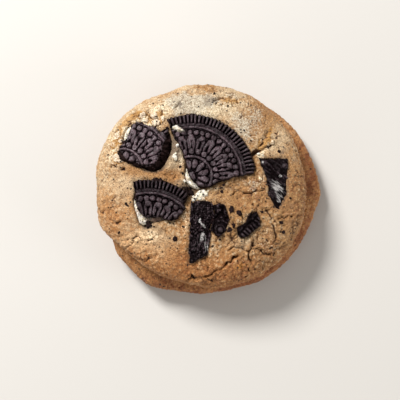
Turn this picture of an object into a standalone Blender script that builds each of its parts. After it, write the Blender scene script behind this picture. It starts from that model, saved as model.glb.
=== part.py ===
"""A thick stuffed cookie with broken pieces of dark sandwich biscuit baked into its top.

The dough is one lump in two tiers: a spread foot, a crease, and a domed cap that leans
over the foot on one side. Each biscuit piece lies in its own recess in the cap. Some
pieces show their embossed face with ridges round the rim, others their plain back, and
three of them still carry a layer of white cream.

Lengths are metres. +Z is up, the cookie stands on z = 0, and the origin is at the middle
of its footprint. Seen from above, +X is to the right and +Y is up.
"""

import itertools
import math

import bmesh
import bpy
import numpy as np
from mathutils import Matrix, Vector

MM = 0.001

# ---------------------------------------------------------------- driving sizes

# The dough. An outline is a mean radius in mm, lobes as (number round the cookie, height in
# mm, direction in degrees), and bumps as (direction and reach in degrees, height in mm).
CAP_OUTLINE = {
    "mean": 37.2,
    "lobes": ((1, 2.8, 168), (2, 1.0, -28), (3, 0.7, -54)),
    "bumps": ((200, 8, 1.9), (180, 6, -0.8), (162, 8, -0.35), (140, 8, 0.35), (115, 8, -1.0)),
}
FOOT_OUTLINE = {
    "mean": 38.4,
    "lobes": ((1, 0.6, -136), (2, 1.2, 19), (3, 0.7, 1), (4, 0.45, -44)),
    "bumps": ((-2, 8, 1.7), (15, 9, 0.8), (-55, 18, 1.1), (216, 6, 0.7), (238, 8, 1.0)),
}
FOOT_LEVEL = 5.0 * MM  # height at which the foot is widest
CREASE_LEVEL = 9.6 * MM
CAP_LEVEL = 14.0 * MM  # height at which the cap is widest
DOUGH_HEIGHT = 24.0 * MM
CREASE_DEPTH = 1.1 * MM  # below the smaller of cap and foot
FOOT_EDGE = 3.0 * MM  # how far the foot rounds in, down to the flat underside
SIDE_BLEND = 4.0 * MM  # the crust's relief fades in over this height above the cap's widest
DOME_FLATNESS = 3.2  # exponents of the cap's dome: flat middle, round shoulder
SHOULDER_ROUNDNESS = 2.4

DOUGH_STEPS = 104
DOUGH_RINGS = 40

# The biscuit that the pieces were broken from.
WAFER_RADIUS = 22.3 * MM
WAFER_THICKNESS = 2.4 * MM
RIM_WEAR = 0.4 * MM  # rubbed off the rim of the broken pieces
RELIEF_HEIGHT = 0.5 * MM
RIDGE_COUNT = 96
RIDGE_WIDTH = 0.8 * MM
RIDGE_LENGTH = 3.9 * MM
TOOTH_LENGTH = 8.0 * MM  # of the ridges that cross a whole strip of rim
OUTER_RING_RADIUS = 17.3 * MM
BEAD_RING_RADIUS = 15.6 * MM
BEAD_PITCH = 8.0  # degrees
BEAD_RADIUS = 0.55 * MM
BEAD_TAPER = 0.3  # share of its radius by which a bead is wider below and narrower above
GRAIN_RING_RADIUS = 11.8 * MM
GRAIN_PITCH = 15.0  # degrees
GRAIN_LENGTH = 4.2 * MM
GRAIN_WIDTH = 1.5 * MM
GRAIN_FOOT = 0.55  # half the length and width of a grain at its foot and top, as shares
GRAIN_TOP = 0.3
INNER_RING_RADIUS = 7.0 * MM
RING_WIDTH = 0.6 * MM
MOTIF_MARGIN = 0.3 * MM  # a motif is left out if its middle is nearer to a broken edge
RING_OVERRUN = 1.2 * MM  # rings run this far past the outline before they are trimmed
TRIM_INSET = 0.05 * MM  # the trimmed relief stays this far inside the outline

GAP = 0.3 * MM  # clearance between neighbouring solids
RECESS_REACH = 12.0 * MM  # how far above the dome a recess is cut open
LUMP_DROP = 0.6  # mm from the upper face of a piece down to the cream lump in its notch

DOUGH_COLOUR = (0.60, 0.36, 0.16)
WAFER_COLOUR = (0.025, 0.018, 0.020)
CREAM_COLOUR = (0.78, 0.72, 0.62)

# Each piece of biscuit, seen from above, in millimetres: the corners of its outline
# anticlockwise, the centre of the biscuit that it came from, how far its upper face
# stands above the dough, its thickness, and any extra lean or flare.
PIECES = {
    "wafer_quarter": {
        "centre": (-6.4, 1.9),
        "arc": (9.0, 113.0),
        "outline": [
            (-14.4, 20.9), (-12.0, 20.7), (-9.5, 19.1), (-9.2, 17.6), (-11.4, 16.6),
            (-12.3, 15.2), (-10.9, 13.4), (-9.6, 11.2), (-8.6, 7.6), (-7.4, 2.9),
            (-4.7, -0.8), (-3.0, -2.0), (-1.2, -1.9), (1.7, -0.8), (5.3, 0.8),
            (8.3, 1.8), (11.5, 2.2), (14.9, 3.1),
        ],
        "proud": 1.0,
        "embossed": True,
    },
    "wafer_block": {
        "centre": (-30.6, 4.6),
        "outline": [
            (-32.1, 11.3), (-30.2, 9.0), (-28.6, 7.5), (-25.9, 6.8), (-23.5, 5.8),
            (-20.6, 5.6), (-18.9, 6.4), (-17.6, 9.4), (-16.3, 13.2), (-14.5, 17.4),
            (-15.3, 19.0), (-16.3, 18.7), (-17.9, 17.6), (-19.2, 19.1), (-20.6, 19.8),
            (-22.3, 19.8), (-23.8, 21.0), (-25.8, 21.5), (-27.2, 20.0), (-28.6, 16.4),
            (-30.0, 13.8),
        ],
        "proud": 1.9,
        "thickness": 3.9,
        "flare": (3.0, -38.0),
        "lean": (2.0, 6.0),
        "embossed": True,
    },
    "wafer_rim": {
        "centre": (-21.4, -21.5),
        "arc": (52.0, 104.0),
        "outline": [
            (-26.9, 0.0), (-26.4, -2.6), (-25.9, -5.6), (-24.8, -9.6), (-22.6, -12.2),
            (-19.8, -12.4), (-16.9, -12.1), (-15.6, -13.3), (-13.5, -13.6),
            (-11.4, -12.5), (-9.6, -10.8), (-9.1, -8.0), (-7.9, -5.6),
        ],
        "proud": 1.6,
        "embossed": True,
    },
    "wafer_rim_under": {
        "centre": (-21.4, -21.5),
        "outline": [
            (-24.0, -2.5), (-24.2, -8.0), (-23.6, -13.4), (-22.4, -15.8),
            (-20.6, -15.8), (-19.8, -14.2), (-14.0, -12.2), (-11.0, -9.0),
            (-11.5, -4.0),
        ],
        "proud": -2.9,
        "thickness": 2.3,
        "embossed": False,
        "seat_of": "wafer_rim",
    },
    "wafer_slab_long": {
        "centre": (-3.4, -17.0),
        "outline": [
            (-6.7, -7.8), (-6.8, -11.8), (-7.0, -16.9), (-7.2, -20.9), (-7.3, -24.4),
            (-6.6, -26.3), (-7.3, -28.1), (-5.2, -27.8), (-3.0, -26.4), (-1.0, -25.3),
            (-0.3, -22.2), (0.2, -18.6), (0.0, -16.2), (1.0, -14.0), (1.4, -10.8),
            (1.0, -8.4), (0.0, -7.2), (-2.0, -6.6), (-4.4, -6.9),
        ],
        "proud": 0.3,
        "thickness": 2.6,
        "embossed": False,
    },
    "wafer_slab_round": {
        "centre": (4.0, -13.0),
        "outline": [
            (1.4, -8.3), (1.8, -10.9), (1.35, -14.2), (0.45, -16.5), (1.9, -18.4),
            (3.3, -18.9), (4.6, -18.0), (6.0, -16.2), (6.6, -13.4), (6.2, -11.0),
            (5.8, -9.2), (4.8, -7.9), (3.2, -7.6),
        ],
        "proud": 0.9,
        "thickness": 2.6,
        "lean": (-3.0, 4.0),
        "embossed": False,
    },
    "wafer_wedge": {
        "centre": (23.5, 0.5),
        "outline": [
            (17.4, 8.9), (17.9, 6.8), (19.1, 3.9), (19.9, 0.8), (20.2, -1.8),
            (20.6, -4.6), (22.0, -7.4), (23.2, -9.2), (24.2, -9.2), (25.3, -7.4),
            (26.9, -4.8), (27.2, -0.2), (27.5, 4.6), (27.5, 8.5), (24.4, 9.0),
            (20.6, 8.7),
        ],
        "proud": 0.1,
        "thickness": 2.6,
        "embossed": False,
    },
    "wafer_strip": {
        "centre": (13.3, -14.9),
        "outline": [
            (9.1, -16.2), (9.7, -18.3), (10.8, -19.5), (13.1, -18.8), (14.4, -17.6),
            (16.2, -16.5), (17.4, -15.2), (17.3, -13.2), (16.5, -11.0), (14.9, -10.3),
            (13.9, -12.0), (12.4, -14.2), (10.7, -15.4),
        ],
        "proud": 1.2,
        "thickness": 3.2,
        "embossed": False,
        "teeth": 5,
    },
}

# Layers of cream, each under the piece that it stuck to. A lump is the outline of cream
# that was squeezed up into a notch in the piece above.
CREAMS = {
    "cream_quarter": {
        "under": "wafer_quarter",
        "thickness": 1.3,
        "outline": [
            (-13.4, 20.2), (-13.2, 17.4), (-11.2, 15.2), (-8.4, 8.0), (-8.7, 3.2),
            (-8.1, -0.1), (-6.3, -1.9), (-3.6, -2.6), (1.5, 0.8), (6.0, 3.4),
            (12.6, 4.8), (12.6, 9.0), (8.6, 15.0), (2.5, 19.2), (-5.0, 21.4),
        ],
        "lump": [
            (-13.1, 20.0), (-12.9, 17.6), (-12.0, 17.0), (-10.2, 17.8), (-10.2, 18.9),
            (-12.0, 20.1),
        ],
    },
    "cream_block": {
        "under": "wafer_block",
        "thickness": 1.2,
        "outline": [
            (-30.4, 12.0), (-27.0, 9.4), (-20.5, 8.2), (-17.0, 16.0), (-20.4, 18.0),
            (-26.0, 20.0), (-28.2, 20.5), (-29.8, 18.0), (-30.5, 15.0),
        ],
    },
    "cream_rim": {
        "under": "wafer_rim",
        "thickness": 1.5,
        "outline": [
            (-25.4, -1.6), (-26.6, -5.6), (-26.4, -9.0), (-25.0, -12.6), (-23.8, -14.9),
            (-22.7, -15.3), (-21.9, -13.6), (-19.4, -13.3), (-16.6, -13.0),
            (-11.2, -10.6), (-10.2, -6.0), (-12.5, -2.0), (-17.0, 0.6), (-22.0, -0.4),
        ],
    },
}

# Crumbs of biscuit and one lump of cream, sunk into the dough: (x, y, across, height) in mm.
CRUMBS = (
    (10.2, -10.9, 1.9, 1.2), (7.7, -9.4, 1.4, 0.9), (8.4, -15.3, 1.1, 0.8),
    (3.6, -20.6, 1.0, 0.8), (-12.2, -19.7, 1.8, 1.2), (-28.9, -8.0, 1.2, 0.8),
    (-31.9, -17.3, 1.2, 0.8), (25.9, -17.3, 1.3, 0.9),
    (25.0, -13.6, 1.1, 0.8), (24.6, 11.6, 1.4, 0.9), (3.9, -3.4, 1.2, 0.8),
    (-2.4, -4.5, 3.2, 1.8),
)

# Cracks in the crust, each as depth, half width and a run of points, in millimetres.
CRACKS = (
    (1.0, 1.1, [(7.8, -3.8), (11.8, -3.5), (13.5, -4.1), (16.2, -3.5), (18.7, -2.9)]),
    (1.7, 1.4, [(-8.4, -33.9), (-3.8, -33.3), (2.4, -30.7), (5.0, -29.2), (5.8, -27.6),
                (7.6, -27.3), (9.5, -25.9)]),
    (1.3, 1.2, [(7.3, -23.4), (10.4, -22.8), (13.5, -24.2), (16.6, -23.4), (19.1, -25.1),
                (20.7, -25.1)]),
    (1.2, 1.2, [(14.1, -24.2), (13.8, -26.0), (14.4, -27.3), (13.5, -29.1), (14.1, -30.9)]),
    (1.0, 1.1, [(16.8, -8.2), (19.5, -10.4), (21.7, -12.9), (22.3, -16.1), (22.5, -21.1)]),
    (1.1, 1.2, [(24.2, -12.3), (27.3, -11.9), (29.5, -12.1)]),
    (1.5, 1.3, [(-25.7, -18.8), (-27.8, -21.4), (-29.9, -22.8)]),
    (1.1, 1.2, [(-26.5, -26.2), (-23.0, -27.0), (-19.6, -25.7)]),
    (1.6, 1.4, [(-33.2, 20.4), (-29.4, 20.9), (-27.2, 23.6), (-25.1, 25.0)]),
    (1.2, 1.2, [(-17.5, 27.6), (-16.7, 24.3)]),
    (1.1, 1.2, [(-36.1, 6.3), (-33.3, 5.7), (-30.3, 4.4)]),
    (1.6, 1.6, [(17.1, 11.2), (18.6, 13.4), (20.5, 17.5), (22.0, 19.5)]),
    (1.2, 1.3, [(1.9, 30.1), (7.0, 30.3), (10.0, 29.2)]),
    (1.1, 1.2, [(-39.4, -9.0), (-37.0, -6.9), (-32.5, -5.1)]),
    (1.0, 1.2, [(-34.8, -12.8), (-32.4, -14.2), (-30.6, -13.5)]),
)

# Broad dents and swells in the dough: (x, y, reach, rise) in mm.
SWELLS = (
    (-6.8, -2.6, 4.2, -1.7), (-12.4, 2.6, 4.0, -0.9), (17.5, 10.6, 3.4, -1.2),
    (-24.5, -15.2, 3.2, -1.0), (15.6, -2.0, 5.0, 0.5), (11.0, 26.0, 7.0, 0.7),
    (-16.0, 29.0, 6.0, 0.6), (-31.0, -3.0, 7.0, 0.6), (-17.0, -22.0, 7.0, 0.6),
    (13.5, -26.5, 6.0, 0.6), (29.0, 17.0, 6.0, 0.4),
)

LUMPS = ((13.0, 0.55), (5.5, 0.28))  # (size, height) in mm of the dough's unevenness
LUMP_SEED = 7

CRUMB_WIDTH = 0.7  # share of its length
CRUMB_TURN = 1.7  # radians from each crumb to the next
CRUMB_GRAIN = 0.8 * MM  # size of the dents in a crumb
CRUMB_DENTS = 0.25  # their depth, as a share of the distance to its middle

# ---------------------------------------------------------------- the dough's form


def metres(points):
    """Points given in millimetres, as an array in metres."""
    return np.array(points, float) * MM


def lobed_radius(outline, angle):
    """Radius of an outline at these angles: its mean, a cosine for each lobe and a bell
    curve for each bump."""
    radius = np.full_like(angle, outline["mean"])
    for count, height, direction in outline["lobes"]:
        radius += height * np.cos(count * (angle - math.radians(direction)))
    for direction, reach, height in outline["bumps"]:
        away = (np.degrees(angle) - direction + 180) % 360 - 180
        radius += height * np.exp(-((away / reach) ** 2))
    return radius * MM


def dome_height(x, y):
    """Height of the smooth cap over a point."""
    reach = np.hypot(x, y) / lobed_radius(CAP_OUTLINE, np.arctan2(y, x))
    inside = np.clip(1 - reach**DOME_FLATNESS, 0, 1)
    return CAP_LEVEL + (DOUGH_HEIGHT - CAP_LEVEL) * inside ** (1 / SHOULDER_ROUNDNESS)


def smooth_noise(points, size, seed):
    """Random values from -1 to 1 on a lattice of this size, blended smoothly between."""
    scaled = points / size
    corner = np.floor(scaled).astype(np.int64)
    part = scaled - corner
    blend = part * part * (3 - 2 * part)
    total = np.zeros(len(points))
    for step in itertools.product((0, 1), repeat=3):
        at = corner + step
        mixed = at[:, 0] * 73856093 ^ at[:, 1] * 19349663 ^ at[:, 2] * 83492791 ^ seed * 2654435
        mixed = (mixed ^ (mixed >> 13)) * 1274126177 & 0x7FFFFFFF
        value = ((mixed ^ (mixed >> 15)) & 0xFFFF) / 32767.5 - 1
        total += value * np.prod(np.where(step, blend, 1 - blend), axis=1)
    return total


def distance_to_run(x, y, run):
    """Distance in the plane from points to a run of straight pieces."""
    nearest = np.full_like(x, np.inf)
    for (ax, ay), (bx, by) in zip(run[:-1], run[1:]):
        dx, dy = bx - ax, by - ay
        along = np.clip(((x - ax) * dx + (y - ay) * dy) / (dx * dx + dy * dy), 0, 1)
        nearest = np.minimum(nearest, np.hypot(x - ax - along * dx, y - ay - along * dy))
    return nearest


def crust_relief(x, y):
    """Rise of the crust over the smooth dome: swells and dents, less the cracks."""
    rise = np.zeros_like(x)
    for sx, sy, reach, height in SWELLS:
        away = np.hypot(x - sx * MM, y - sy * MM) / (reach * MM)
        rise += height * MM * np.exp(-away * away)
    for depth, half_width, run in CRACKS:
        away = distance_to_run(x, y, metres(run)) / (half_width * MM)
        rise -= depth * MM * np.exp(-away * away)
    return rise


def side_radius(height, cap, foot):
    """Radius of the side at a height, where the cap and the foot have these radii: the cap
    curls in to the crease, the foot comes out again and rounds in to the underside."""
    crease = np.minimum(cap, foot) - CREASE_DEPTH
    under_cap = np.clip((CAP_LEVEL - height) / (CAP_LEVEL - CREASE_LEVEL), 0, 1)
    over_foot = np.clip((height - FOOT_LEVEL) / (CREASE_LEVEL - FOOT_LEVEL), 0, 1)
    under_foot = np.clip(1 - height / FOOT_LEVEL, 0, 1)
    upper = crease + (cap - crease) * np.sqrt(1 - under_cap**2)
    lower = crease + (foot - crease) * np.sqrt(1 - over_foot**2)
    lower = lower - FOOT_EDGE * (1 - np.sqrt(1 - under_foot**2))
    return np.where(height > CREASE_LEVEL, upper, lower)


def dough_profile():
    """Half of the dough's mean section as (radius, height): even steps from the top's middle
    down the side, then one across the flat underside."""
    cap, foot = CAP_OUTLINE["mean"] * MM, FOOT_OUTLINE["mean"] * MM
    across = np.linspace(0, 1, 200)
    dome = (1 - across**DOME_FLATNESS) ** (1 / SHOULDER_ROUNDNESS)
    down = CAP_LEVEL * np.sin(np.linspace(math.pi / 2, 0, 400)) ** 2
    radius = np.concatenate([across * cap, side_radius(down, cap, foot)])
    height = np.concatenate([CAP_LEVEL + (DOUGH_HEIGHT - CAP_LEVEL) * dome, down])
    along = np.concatenate([[0], np.cumsum(np.hypot(np.diff(radius), np.diff(height)))])
    wanted = np.linspace(0, along[-1], DOUGH_RINGS)
    rings = np.stack([np.interp(wanted, along, radius), np.interp(wanted, along, height)], axis=1)
    return np.vstack([rings, (0, 0)])


def shaped(points):
    """Points of the turned dough moved to its lobed outline, with the crust's relief."""
    height = points[:, 2]
    angle = np.arctan2(points[:, 1], points[:, 0])
    cap, foot = lobed_radius(CAP_OUTLINE, angle), lobed_radius(FOOT_OUTLINE, angle)
    mean_cap, mean_foot = CAP_OUTLINE["mean"] * MM, FOOT_OUTLINE["mean"] * MM
    side = side_radius(height, cap, foot) / side_radius(height, mean_cap, mean_foot)
    swell = np.where(height > CAP_LEVEL, cap / mean_cap, side)
    moved = points * np.stack([swell, swell, np.ones_like(swell)], axis=1)
    lumps = sum(
        tall * MM * smooth_noise(moved, size * MM, LUMP_SEED + n)
        for n, (size, tall) in enumerate(LUMPS)
    )
    on_top = np.clip((height - CAP_LEVEL) / SIDE_BLEND, 0, 1)
    on_side = np.clip(height / FOOT_LEVEL, 0, 1) * (1 - on_top)
    radius = np.maximum(np.hypot(moved[:, 0], moved[:, 1]), MM)
    moved[:, :2] *= (1 + on_side * lumps / radius)[:, None]
    moved[:, 2] += on_top * (lumps + crust_relief(moved[:, 0], moved[:, 1]))
    return moved


# ---------------------------------------------------------------- Blender helpers


def clear_scene():
    for obj in list(bpy.data.objects):
        bpy.data.objects.remove(obj)


def new_collection(name):
    collection = bpy.data.collections.new(name)
    bpy.context.scene.collection.children.link(collection)
    return collection


def new_material(name, colour, roughness):
    material = bpy.data.materials.new(name)
    material.use_nodes = True
    shader = material.node_tree.nodes["Principled BSDF"]
    shader.inputs["Base Color"].default_value = (*colour, 1)
    shader.inputs["Roughness"].default_value = roughness
    shader.inputs["Metallic"].default_value = 0
    return material


def object_from_bmesh(name, bm, collection):
    bmesh.ops.recalc_face_normals(bm, faces=bm.faces)
    mesh = bpy.data.meshes.new(name)
    bm.to_mesh(mesh)
    bm.free()
    obj = bpy.data.objects.new(name, mesh)
    collection.objects.link(obj)
    return obj


def apply_modifiers(obj):
    graph = bpy.context.evaluated_depsgraph_get()
    mesh = bpy.data.meshes.new_from_object(obj.evaluated_get(graph))
    obj.modifiers.clear()
    obj.data = mesh


def boolean(obj, operation, others, helpers):
    """Joins, cuts or intersects obj with all the others, and removes them."""
    group = bpy.data.collections.new("operands")
    helpers.children.link(group)
    for other in others:
        for owner in list(other.users_collection):
            owner.objects.unlink(other)
        group.objects.link(other)
    modifier = obj.modifiers.new(operation.title(), "BOOLEAN")
    modifier.operation = operation
    modifier.operand_type = "COLLECTION"
    modifier.collection = group
    apply_modifiers(obj)
    for other in others:
        bpy.data.objects.remove(other)
    bpy.data.collections.remove(group)


def outward(outline):
    """At each corner, the step that moves both its sides outwards by 1."""
    ahead = np.roll(outline, -1, axis=0) - outline
    ahead /= np.hypot(ahead[:, 0], ahead[:, 1])[:, None]
    behind = np.roll(ahead, 1, axis=0)
    both = np.stack([ahead[:, 1] + behind[:, 1], -ahead[:, 0] - behind[:, 0]], axis=1)
    return 2 * both / np.maximum((both**2).sum(1), 1.2)[:, None]


def grown(outline, distance):
    """The outline moved outwards by a distance, or inwards if it is negative."""
    return outline + outward(outline) * distance


def spread(outline, distance, direction):
    """The outline with the sides that face a direction pushed out that way."""
    towards = np.array([math.cos(direction), math.sin(direction)])
    share = np.clip(outward(outline) @ towards, 0, 1)
    return outline + distance * share[:, None] * towards


def prism(name, outline, low, high, collection, foot=None):
    """A slab between two heights over an outline, whose lower face may have one of its own."""
    curve = bpy.data.curves.new(name, "CURVE")
    curve.dimensions = "2D"
    curve.fill_mode = "BOTH"
    curve.extrude = (high - low) / 2
    spline = curve.splines.new("POLY")
    spline.points.add(len(outline) - 1)
    spline.points.foreach_set("co", np.pad(outline, ((0, 0), (0, 2))).ravel())
    spline.use_cyclic_u = True
    flat = bpy.data.objects.new(name, curve)
    collection.objects.link(flat)
    bpy.context.view_layer.update()
    graph = bpy.context.evaluated_depsgraph_get()
    bm = bmesh.new()
    bm.from_mesh(bpy.data.meshes.new_from_object(flat.evaluated_get(graph)))
    bpy.data.objects.remove(flat)
    bmesh.ops.remove_doubles(bm, verts=bm.verts, dist=0.001 * MM)
    for vert in bm.verts:
        if foot is not None and vert.co.z < 0:
            nearest = np.argmin(np.hypot(*(outline - vert.co[:2]).T))
            vert.co.xy = foot[nearest]
        vert.co.z += (low + high) / 2
    return object_from_bmesh(name, bm, collection)


# ---------------------------------------------------------------- the biscuit pieces


def piece_outline(piece):
    """The outline's corners in metres, the rim's arc included."""
    points = [tuple(p) for p in metres(piece["outline"])]
    if "arc" in piece:
        first, last = piece["arc"]
        steps = max(2, round((last - first) / 4))
        cx, cy = metres(piece["centre"])
        radius = WAFER_RADIUS - RIM_WEAR
        for a in np.radians(np.linspace(first, last, steps + 1)):
            points.append((cx + radius * math.cos(a), cy + radius * math.sin(a)))
    return np.array(points)


def seat(piece):
    """Where a piece lies: a matrix with its origin on the dome under the piece's middle
    and Z square to the dome there, turned by the piece's own lean about X and Y."""
    host = PIECES[piece["seat_of"]] if "seat_of" in piece else piece
    x, y = piece_outline(host).mean(0)
    step = 4 * MM
    fall_x = (dome_height(x + step, y) - dome_height(x - step, y)) / (2 * step)
    fall_y = (dome_height(x, y + step) - dome_height(x, y - step)) / (2 * step)
    square = Vector((-fall_x, -fall_y, 1))
    tilt = Vector((0, 0, 1)).rotation_difference(square).to_matrix().to_4x4()
    lean_x, lean_y = (math.radians(a) for a in host.get("lean", (0, 0)))
    lean = Matrix.Rotation(lean_x, 4, "X") @ Matrix.Rotation(lean_y, 4, "Y")
    return Matrix.Translation((x, y, dome_height(x, y))) @ tilt @ lean


def relief_ring(bm, centre, radius, first, last, low, high):
    """Part of a raised ring, from one angle to another."""
    half = RING_WIDTH / 2
    start = []
    for r, z in ((radius - half, low), (radius + half, low), (radius + half, high), (radius - half, high)):
        place = (centre[0] + r * math.cos(first), centre[1] + r * math.sin(first), z)
        start.append(bm.verts.new(place))
    face = bm.faces.new(start)
    bmesh.ops.spin(
        bm,
        geom=[face, *face.edges, *face.verts],
        cent=(centre[0], centre[1], 0),
        axis=(0, 0, 1),
        angle=last - first,
        steps=max(2, round(math.degrees(last - first) / 6)),
    )


def inside(outline, x, y):
    """True where a point lies within the outline."""
    ax, ay = outline[:, 0], outline[:, 1]
    bx, by = np.roll(ax, -1), np.roll(ay, -1)
    crosses = (ay > y) != (by > y)
    level = np.where(crosses, by - ay, 1)
    return bool(np.count_nonzero(crosses & (x < (bx - ax) * (y - ay) / level + ax)) % 2)


def raised_pattern(centre, outline, low, high):
    """The ridges, rings, beads and grains of the biscuit's face that lie over the outline."""
    bm = bmesh.new()

    def place(radius, angle):
        return centre[0] + radius * math.cos(angle), centre[1] + radius * math.sin(angle)

    def turn(angle, x, y):
        middle = Vector((x, y, (low + high) / 2))
        return Matrix.Translation(middle) @ Matrix.Rotation(angle, 4, "Z")

    margin = grown(outline, -MOTIF_MARGIN)
    overrun = grown(outline, RING_OVERRUN)
    tall = high - low
    for n in range(RIDGE_COUNT):
        angle = 2 * math.pi * n / RIDGE_COUNT
        x, y = place(WAFER_RADIUS - RIDGE_LENGTH / 2, angle)
        if inside(margin, x, y):
            bar = turn(angle, x, y) @ Matrix.Diagonal((RIDGE_LENGTH, RIDGE_WIDTH, tall, 1))
            bmesh.ops.create_cube(bm, size=1, matrix=bar)
    for n in range(round(360 / BEAD_PITCH)):
        angle = math.radians(n * BEAD_PITCH)
        x, y = place(BEAD_RING_RADIUS, angle)
        if inside(margin, x, y):
            bmesh.ops.create_cone(
                bm, cap_ends=True, segments=6, radius1=BEAD_RADIUS * (1 + BEAD_TAPER),
                radius2=BEAD_RADIUS * (1 - BEAD_TAPER), depth=tall, matrix=turn(angle, x, y),
            )
    for n in range(round(360 / GRAIN_PITCH)):
        angle = math.radians((n + 0.5) * GRAIN_PITCH)
        x, y = place(GRAIN_RING_RADIUS, angle)
        if inside(margin, x, y):
            stretch = Matrix.Diagonal((GRAIN_LENGTH, GRAIN_WIDTH, 1, 1))
            bmesh.ops.create_cone(
                bm, cap_ends=True, segments=4, radius1=GRAIN_FOOT, radius2=GRAIN_TOP,
                depth=tall, matrix=turn(angle, x, y) @ stretch,
            )
    for radius in (OUTER_RING_RADIUS, INNER_RING_RADIUS):
        steps = np.radians(np.arange(0, 360, 3))
        shown = [a for a in steps if inside(overrun, *place(radius, a))]
        if len(shown) > 4:
            widest = max(range(len(shown)), key=lambda n: (shown[n] - shown[n - 1]) % math.tau)
            first = shown[widest]
            last = first + (shown[widest - 1] - first) % math.tau
            relief_ring(bm, centre, radius, first, last, low, high)
    return bm


def cross_teeth(outline, count, low, high):
    """Short ridges across a narrow strip of rim, evenly along its length."""
    bm = bmesh.new()
    middle = outline.mean(0)
    along = np.linalg.svd(outline - middle)[2][0]
    angle = math.atan2(along[1], along[0])
    reach = (outline - middle) @ along
    for share in (np.arange(count) + 0.5) / count:
        spot = middle + along * (reach.min() + (reach.max() - reach.min()) * (0.1 + 0.8 * share))
        bar = Matrix.Translation((*spot, (low + high) / 2)) @ Matrix.Rotation(angle, 4, "Z")
        bar = bar @ Matrix.Diagonal((RIDGE_WIDTH, TOOTH_LENGTH, high - low, 1))
        bmesh.ops.create_cube(bm, size=1, matrix=bar)
    return bm


def make_piece(name, piece, parts, helpers, material):
    """One broken piece of biscuit, and the cutter for its recess."""
    place = seat(piece)
    middle = np.array(place.translation[:2])
    outline = piece_outline(piece) - middle
    top = piece["proud"] * MM
    low = top - piece.get("thickness", WAFER_THICKNESS / MM) * MM
    foot = outline
    if "flare" in piece:
        distance, direction = piece["flare"]
        foot = spread(outline, distance * MM, math.radians(direction))
    obj = prism(name, outline, low, top, parts, foot)
    low_relief, high_relief = top - RELIEF_HEIGHT, top + RELIEF_HEIGHT
    relief = None
    if piece["embossed"]:
        centre = metres(piece["centre"]) - middle
        relief = raised_pattern(centre, outline, low_relief, high_relief)
    if "teeth" in piece:
        relief = cross_teeth(outline, piece["teeth"], low_relief, high_relief)
    if relief:
        raised = object_from_bmesh(f"{name}_relief", relief, helpers)
        edge = grown(outline, -TRIM_INSET)
        trim = prism(f"{name}_edge", edge, low, top + 2 * RELIEF_HEIGHT, helpers)
        boolean(raised, "INTERSECT", [trim], helpers)
        boolean(obj, "UNION", [raised], helpers)
    obj.data.materials.clear()
    obj.data.materials.append(material)
    obj.matrix_world = place
    cutter = prism(f"{name}_recess", grown(foot, GAP), low - GAP, RECESS_REACH, helpers)
    cutter.matrix_world = place
    return obj, cutter


def make_cream(name, cream, parts, helpers, material):
    """A layer of cream under its piece, and the cutter for its recess."""
    above = PIECES[cream["under"]]
    place = seat(above)
    middle = np.array(place.translation[:2])
    outline = metres(cream["outline"]) - middle
    top = (above["proud"] - above.get("thickness", WAFER_THICKNESS / MM)) * MM - GAP
    low = top - cream["thickness"] * MM
    obj = prism(name, outline, low, top, parts)
    if "lump" in cream:
        risen = (above["proud"] - LUMP_DROP) * MM
        middle_height = (low + top) / 2
        lump = prism("lump", metres(cream["lump"]) - middle, middle_height, risen, helpers)
        boolean(obj, "UNION", [lump], helpers)
    obj.data.materials.clear()
    obj.data.materials.append(material)
    obj.matrix_world = place
    cutter = prism(f"{name}_recess", grown(outline, GAP), low - GAP, RECESS_REACH, helpers)
    cutter.matrix_world = place
    return obj, cutter


# ---------------------------------------------------------------- the dough


def make_dough(parts, material):
    """The dough: a turned profile, pushed to its lobed outline."""
    mesh = bpy.data.meshes.new("dough")
    profile = [(radius, 0, height) for radius, height in dough_profile()]
    mesh.from_pydata(profile, [(n, n + 1) for n in range(len(profile) - 1)], [])
    dough = bpy.data.objects.new("dough", mesh)
    parts.objects.link(dough)
    screw = dough.modifiers.new("Turn", "SCREW")
    screw.steps = screw.render_steps = DOUGH_STEPS
    screw.use_merge_vertices = True
    screw.merge_threshold = 0.01 * MM
    apply_modifiers(dough)
    points = np.empty(len(dough.data.vertices) * 3, np.float32)
    dough.data.vertices.foreach_get("co", points)
    dough.data.vertices.foreach_set("co", shaped(points.reshape(-1, 3).astype(float)).ravel())
    dough.data.materials.append(material)
    return dough


def make_crumbs(helpers):
    """Small angular crumbs, half sunk in the crust."""
    made = []
    for n, (x, y, across, height) in enumerate(CRUMBS):
        x, y = x * MM, y * MM
        level = float(dome_height(x, y) + crust_relief(np.array([x]), np.array([y]))[0])
        bm = bmesh.new()
        matrix = Matrix.Translation((x, y, level)) @ Matrix.Rotation(CRUMB_TURN * n, 4, "Z")
        size = (across * MM, across * CRUMB_WIDTH * MM, height * MM, 1)
        matrix = matrix @ Matrix.Diagonal(size)
        bmesh.ops.create_icosphere(bm, subdivisions=1, radius=0.5, matrix=matrix)
        for vert in bm.verts:
            dent = smooth_noise(np.array([vert.co]), CRUMB_GRAIN, n)[0]
            vert.co += (vert.co - Vector((x, y, level))) * CRUMB_DENTS * float(dent)
        made.append(object_from_bmesh(f"crumb_{n}", bm, helpers))
    return made


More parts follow.
